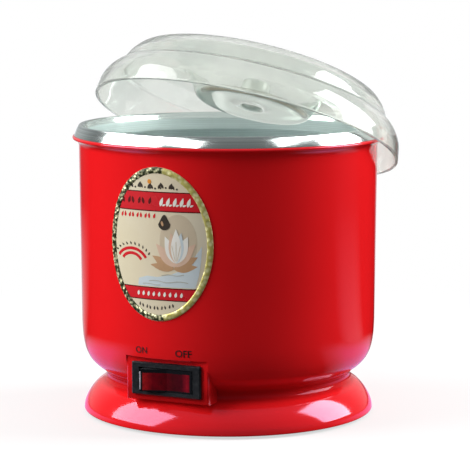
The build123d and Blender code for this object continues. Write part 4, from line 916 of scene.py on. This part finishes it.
fm.link(mulp.outputs[0], em_gl.inputs["Strength"])
mx1 = fm.n("ShaderNodeMixShader")
fm.link(farseen.outputs[0], mx1.inputs[0])
fm.link(fm.b.outputs[0], mx1.inputs[1])
fm.link(em_far.outputs[0], mx1.inputs[2])
tdc = fm.n("ShaderNodeMath", operation="LESS_THAN")
tdc.inputs[1].default_value = 0.5
fm.link(lp.outputs["Transmission Depth"], tdc.inputs[0])
glf = fm.n("ShaderNodeMath", operation="MULTIPLY")
fm.link(lp.outputs["Is Glossy Ray"], glf.inputs[0])
fm.link(tdc.outputs[0], glf.inputs[1])
mx2 = fm.n("ShaderNodeMixShader")
fm.link(glf.outputs[0], mx2.inputs[0])
fm.link(mx1.outputs[0], mx2.inputs[1])
fm.link(em_gl.outputs[0], mx2.inputs[2])
fm.link(mx2.outputs[0], fm.nt.nodes["Material Output"].inputs["Surface"])
floor.data.materials.append(fm.m)


def area(name, az, el, dist, w, h, power, color=(1, 1, 1), aim=(0, 0, 0.07)):
    """az in degrees, measured from the camera's side, positive to the camera's right"""
    d = bpy.data.lights.new(name, "AREA")
    d.shape = "RECTANGLE"
    d.size = w
    d.size_y = h
    d.energy = power
    d.color = color
    o = bpy.data.objects.new(name, d)
    a = rad(az)
    direction = (-F) * cos(a) + R * sin(a)
    o.location = Vector(aim) + (direction * cos(rad(el)) + Vector((0, 0, sin(rad(el))))) * dist
    look = (Vector(aim) - o.location).normalized()
    o.rotation_euler = look.to_track_quat("-Z", "Y").to_euler()
    coll.objects.link(o)
    return o


area("soft_left", -82, 27, 1.1, 0.92, 0.84, 16.5)
area("soft_right", 97, 27, 1.15, 0.70, 0.84, 18.0)
rim_only = bpy.data.collections.new("rim_only")
rim_only.objects.link(bowl)
for nm, az, el, wd, hg, pw in (("strip_left", -48, 41, 0.80, 0.22, 3.2), ("strip_right", 60, 41, 0.62, 0.22, 2.4), ("strip_left_back", -116, 41, 0.4, 0.3, 1.6), ("strip_right_back", 122, 41, 0.4, 0.3, 1.6)):
    st = area(nm, az, el, 1.1, wd, hg, pw)
    st.visible_diffuse = False
    st.light_linking.receiver_collection = rim_only

# the bright well of the bowl, as the funnel dish of the lid mirrors it
lid_only = bpy.data.collections.new("lid_only")
lid_only.objects.link(lid)
wl_d = bpy.data.lights.new("well_glow", "AREA")
wl_d.shape = "RECTANGLE"
wl_d.size = 0.085
wl_d.size_y = 0.040
wl_d.energy = 0.011
wl_d.color = (1.0, 0.985, 0.94)
wl_d.use_shadow = False
wl_o = bpy.data.objects.new("well_glow", wl_d)
wl_o.location = (0.004, 0.046, 0.104)
wl_o.rotation_euler = Vector((-0.04, 0.81, -0.58)).to_track_quat("Z", "Y").to_euler()
wl_o.visible_camera = False
wl_o.visible_diffuse = False
wl_o.visible_transmission = False
wl_o.light_linking.receiver_collection = lid_only
coll.objects.link(wl_o)

w = bpy.data.worlds.new("studio")
scene.world = w
w.use_nodes = True
nt = w.node_tree
nt.nodes.clear()
out = nt.nodes.new("ShaderNodeOutputWorld")
bg = nt.nodes.new("ShaderNodeBackground")
bgw = nt.nodes.new("ShaderNodeBackground")
bgw.inputs["Color"].default_value = (1, 1, 1, 1)
bgw.inputs["Strength"].default_value = 1.0
wl = nt.nodes.new("ShaderNodeLightPath")
tc = nt.nodes.new("ShaderNodeTexCoord")
sp = nt.nodes.new("ShaderNodeSeparateXYZ")
nt.links.new(tc.outputs["Generated"], sp.inputs[0])
mr = nt.nodes.new("ShaderNodeMapRange")
mr.interpolation_type = "SMOOTHSTEP"
mr.inputs["From Min"].default_value = 0.55
mr.inputs["From Max"].default_value = 1.0
mr.inputs["To Min"].default_value = 0.22
mr.inputs["To Max"].default_value = 0.42
nt.links.new(sp.outputs["Z"], mr.inputs["Value"])
dt = nt.nodes.new("ShaderNodeVectorMath"); dt.operation = "DOT_PRODUCT"
dt.inputs[1].default_value = (F.x, F.y, 0)
nt.links.new(tc.outputs["Generated"], dt.inputs[0])
mr2 = nt.nodes.new("ShaderNodeMapRange")
mr2.interpolation_type = "SMOOTHSTEP"
mr2.inputs["From Min"].default_value = 0.45
mr2.inputs["From Max"].default_value = 0.95
mr2.inputs["To Min"].default_value = 0.0
mr2.inputs["To Max"].default_value = 0.45
nt.links.new(dt.outputs["Value"], mr2.inputs["Value"])
ad = nt.nodes.new("ShaderNodeMath"); ad.operation = "ADD"
nt.links.new(mr.outputs["Result"], ad.inputs[0])
nt.links.new(mr2.outputs["Result"], ad.inputs[1])
gl = nt.nodes.new("ShaderNodeMapRange")
gl.inputs["To Min"].default_value = 1.0
gl.inputs["To Max"].default_value = 0.72
nt.links.new(wl.outputs["Is Glossy Ray"], gl.inputs["Value"])
mg = nt.nodes.new("ShaderNodeMath"); mg.operation = "MULTIPLY"
nt.links.new(ad.outputs[0], mg.inputs[0])
nt.links.new(gl.outputs["Result"], mg.inputs[1])
nt.links.new(mg.outputs[0], bg.inputs["Strength"])
bg.inputs["Color"].default_value = (0.97, 1.0, 1.0, 1)
wmax = nt.nodes.new("ShaderNodeMath"); wmax.operation = "MAXIMUM"
wcl = nt.nodes.new("ShaderNodeMath"); wcl.operation = "MINIMUM"; wcl.inputs[1].default_value = 0.86
nt.links.new(wl.outputs["Transmission Depth"], wcl.inputs[0])
nt.links.new(wl.outputs["Is Camera Ray"], wmax.inputs[0])
nt.links.new(wcl.outputs[0], wmax.inputs[1])
wm = nt.nodes.new("ShaderNodeMixShader")
nt.links.new(wmax.outputs[0], wm.inputs[0])
nt.links.new(bg.outputs[0], wm.inputs[1])
nt.links.new(bgw.outputs[0], wm.inputs[2])
nt.links.new(wm.outputs[0], out.inputs[0])

cam_d = bpy.data.cameras.new("camera")
cam_d.sensor_width = 36.0
cam_d.lens = 36.0 * 2188.0 / 470.0
cam_d.clip_start = 0.05
cam_d.clip_end = 60.0
cam = bpy.data.objects.new("camera", cam_d)
cam.location = -F * 0.9513 + R * 0.00296 + Vector((0, 0, 0.2064))
pitch = rad(7.75)
look = F * cos(pitch) - Vector((0, 0, sin(pitch)))
cam.rotation_euler = look.to_track_quat("-Z", "Y").to_euler()
coll.objects.link(cam)
scene.camera = cam
scene.view_settings.view_transform = "Standard"
scene.view_settings.look = "None"
scene.cycles.max_bounces = 24
scene.cycles.transmission_bounces = 24
scene.cycles.glossy_bounces = 12
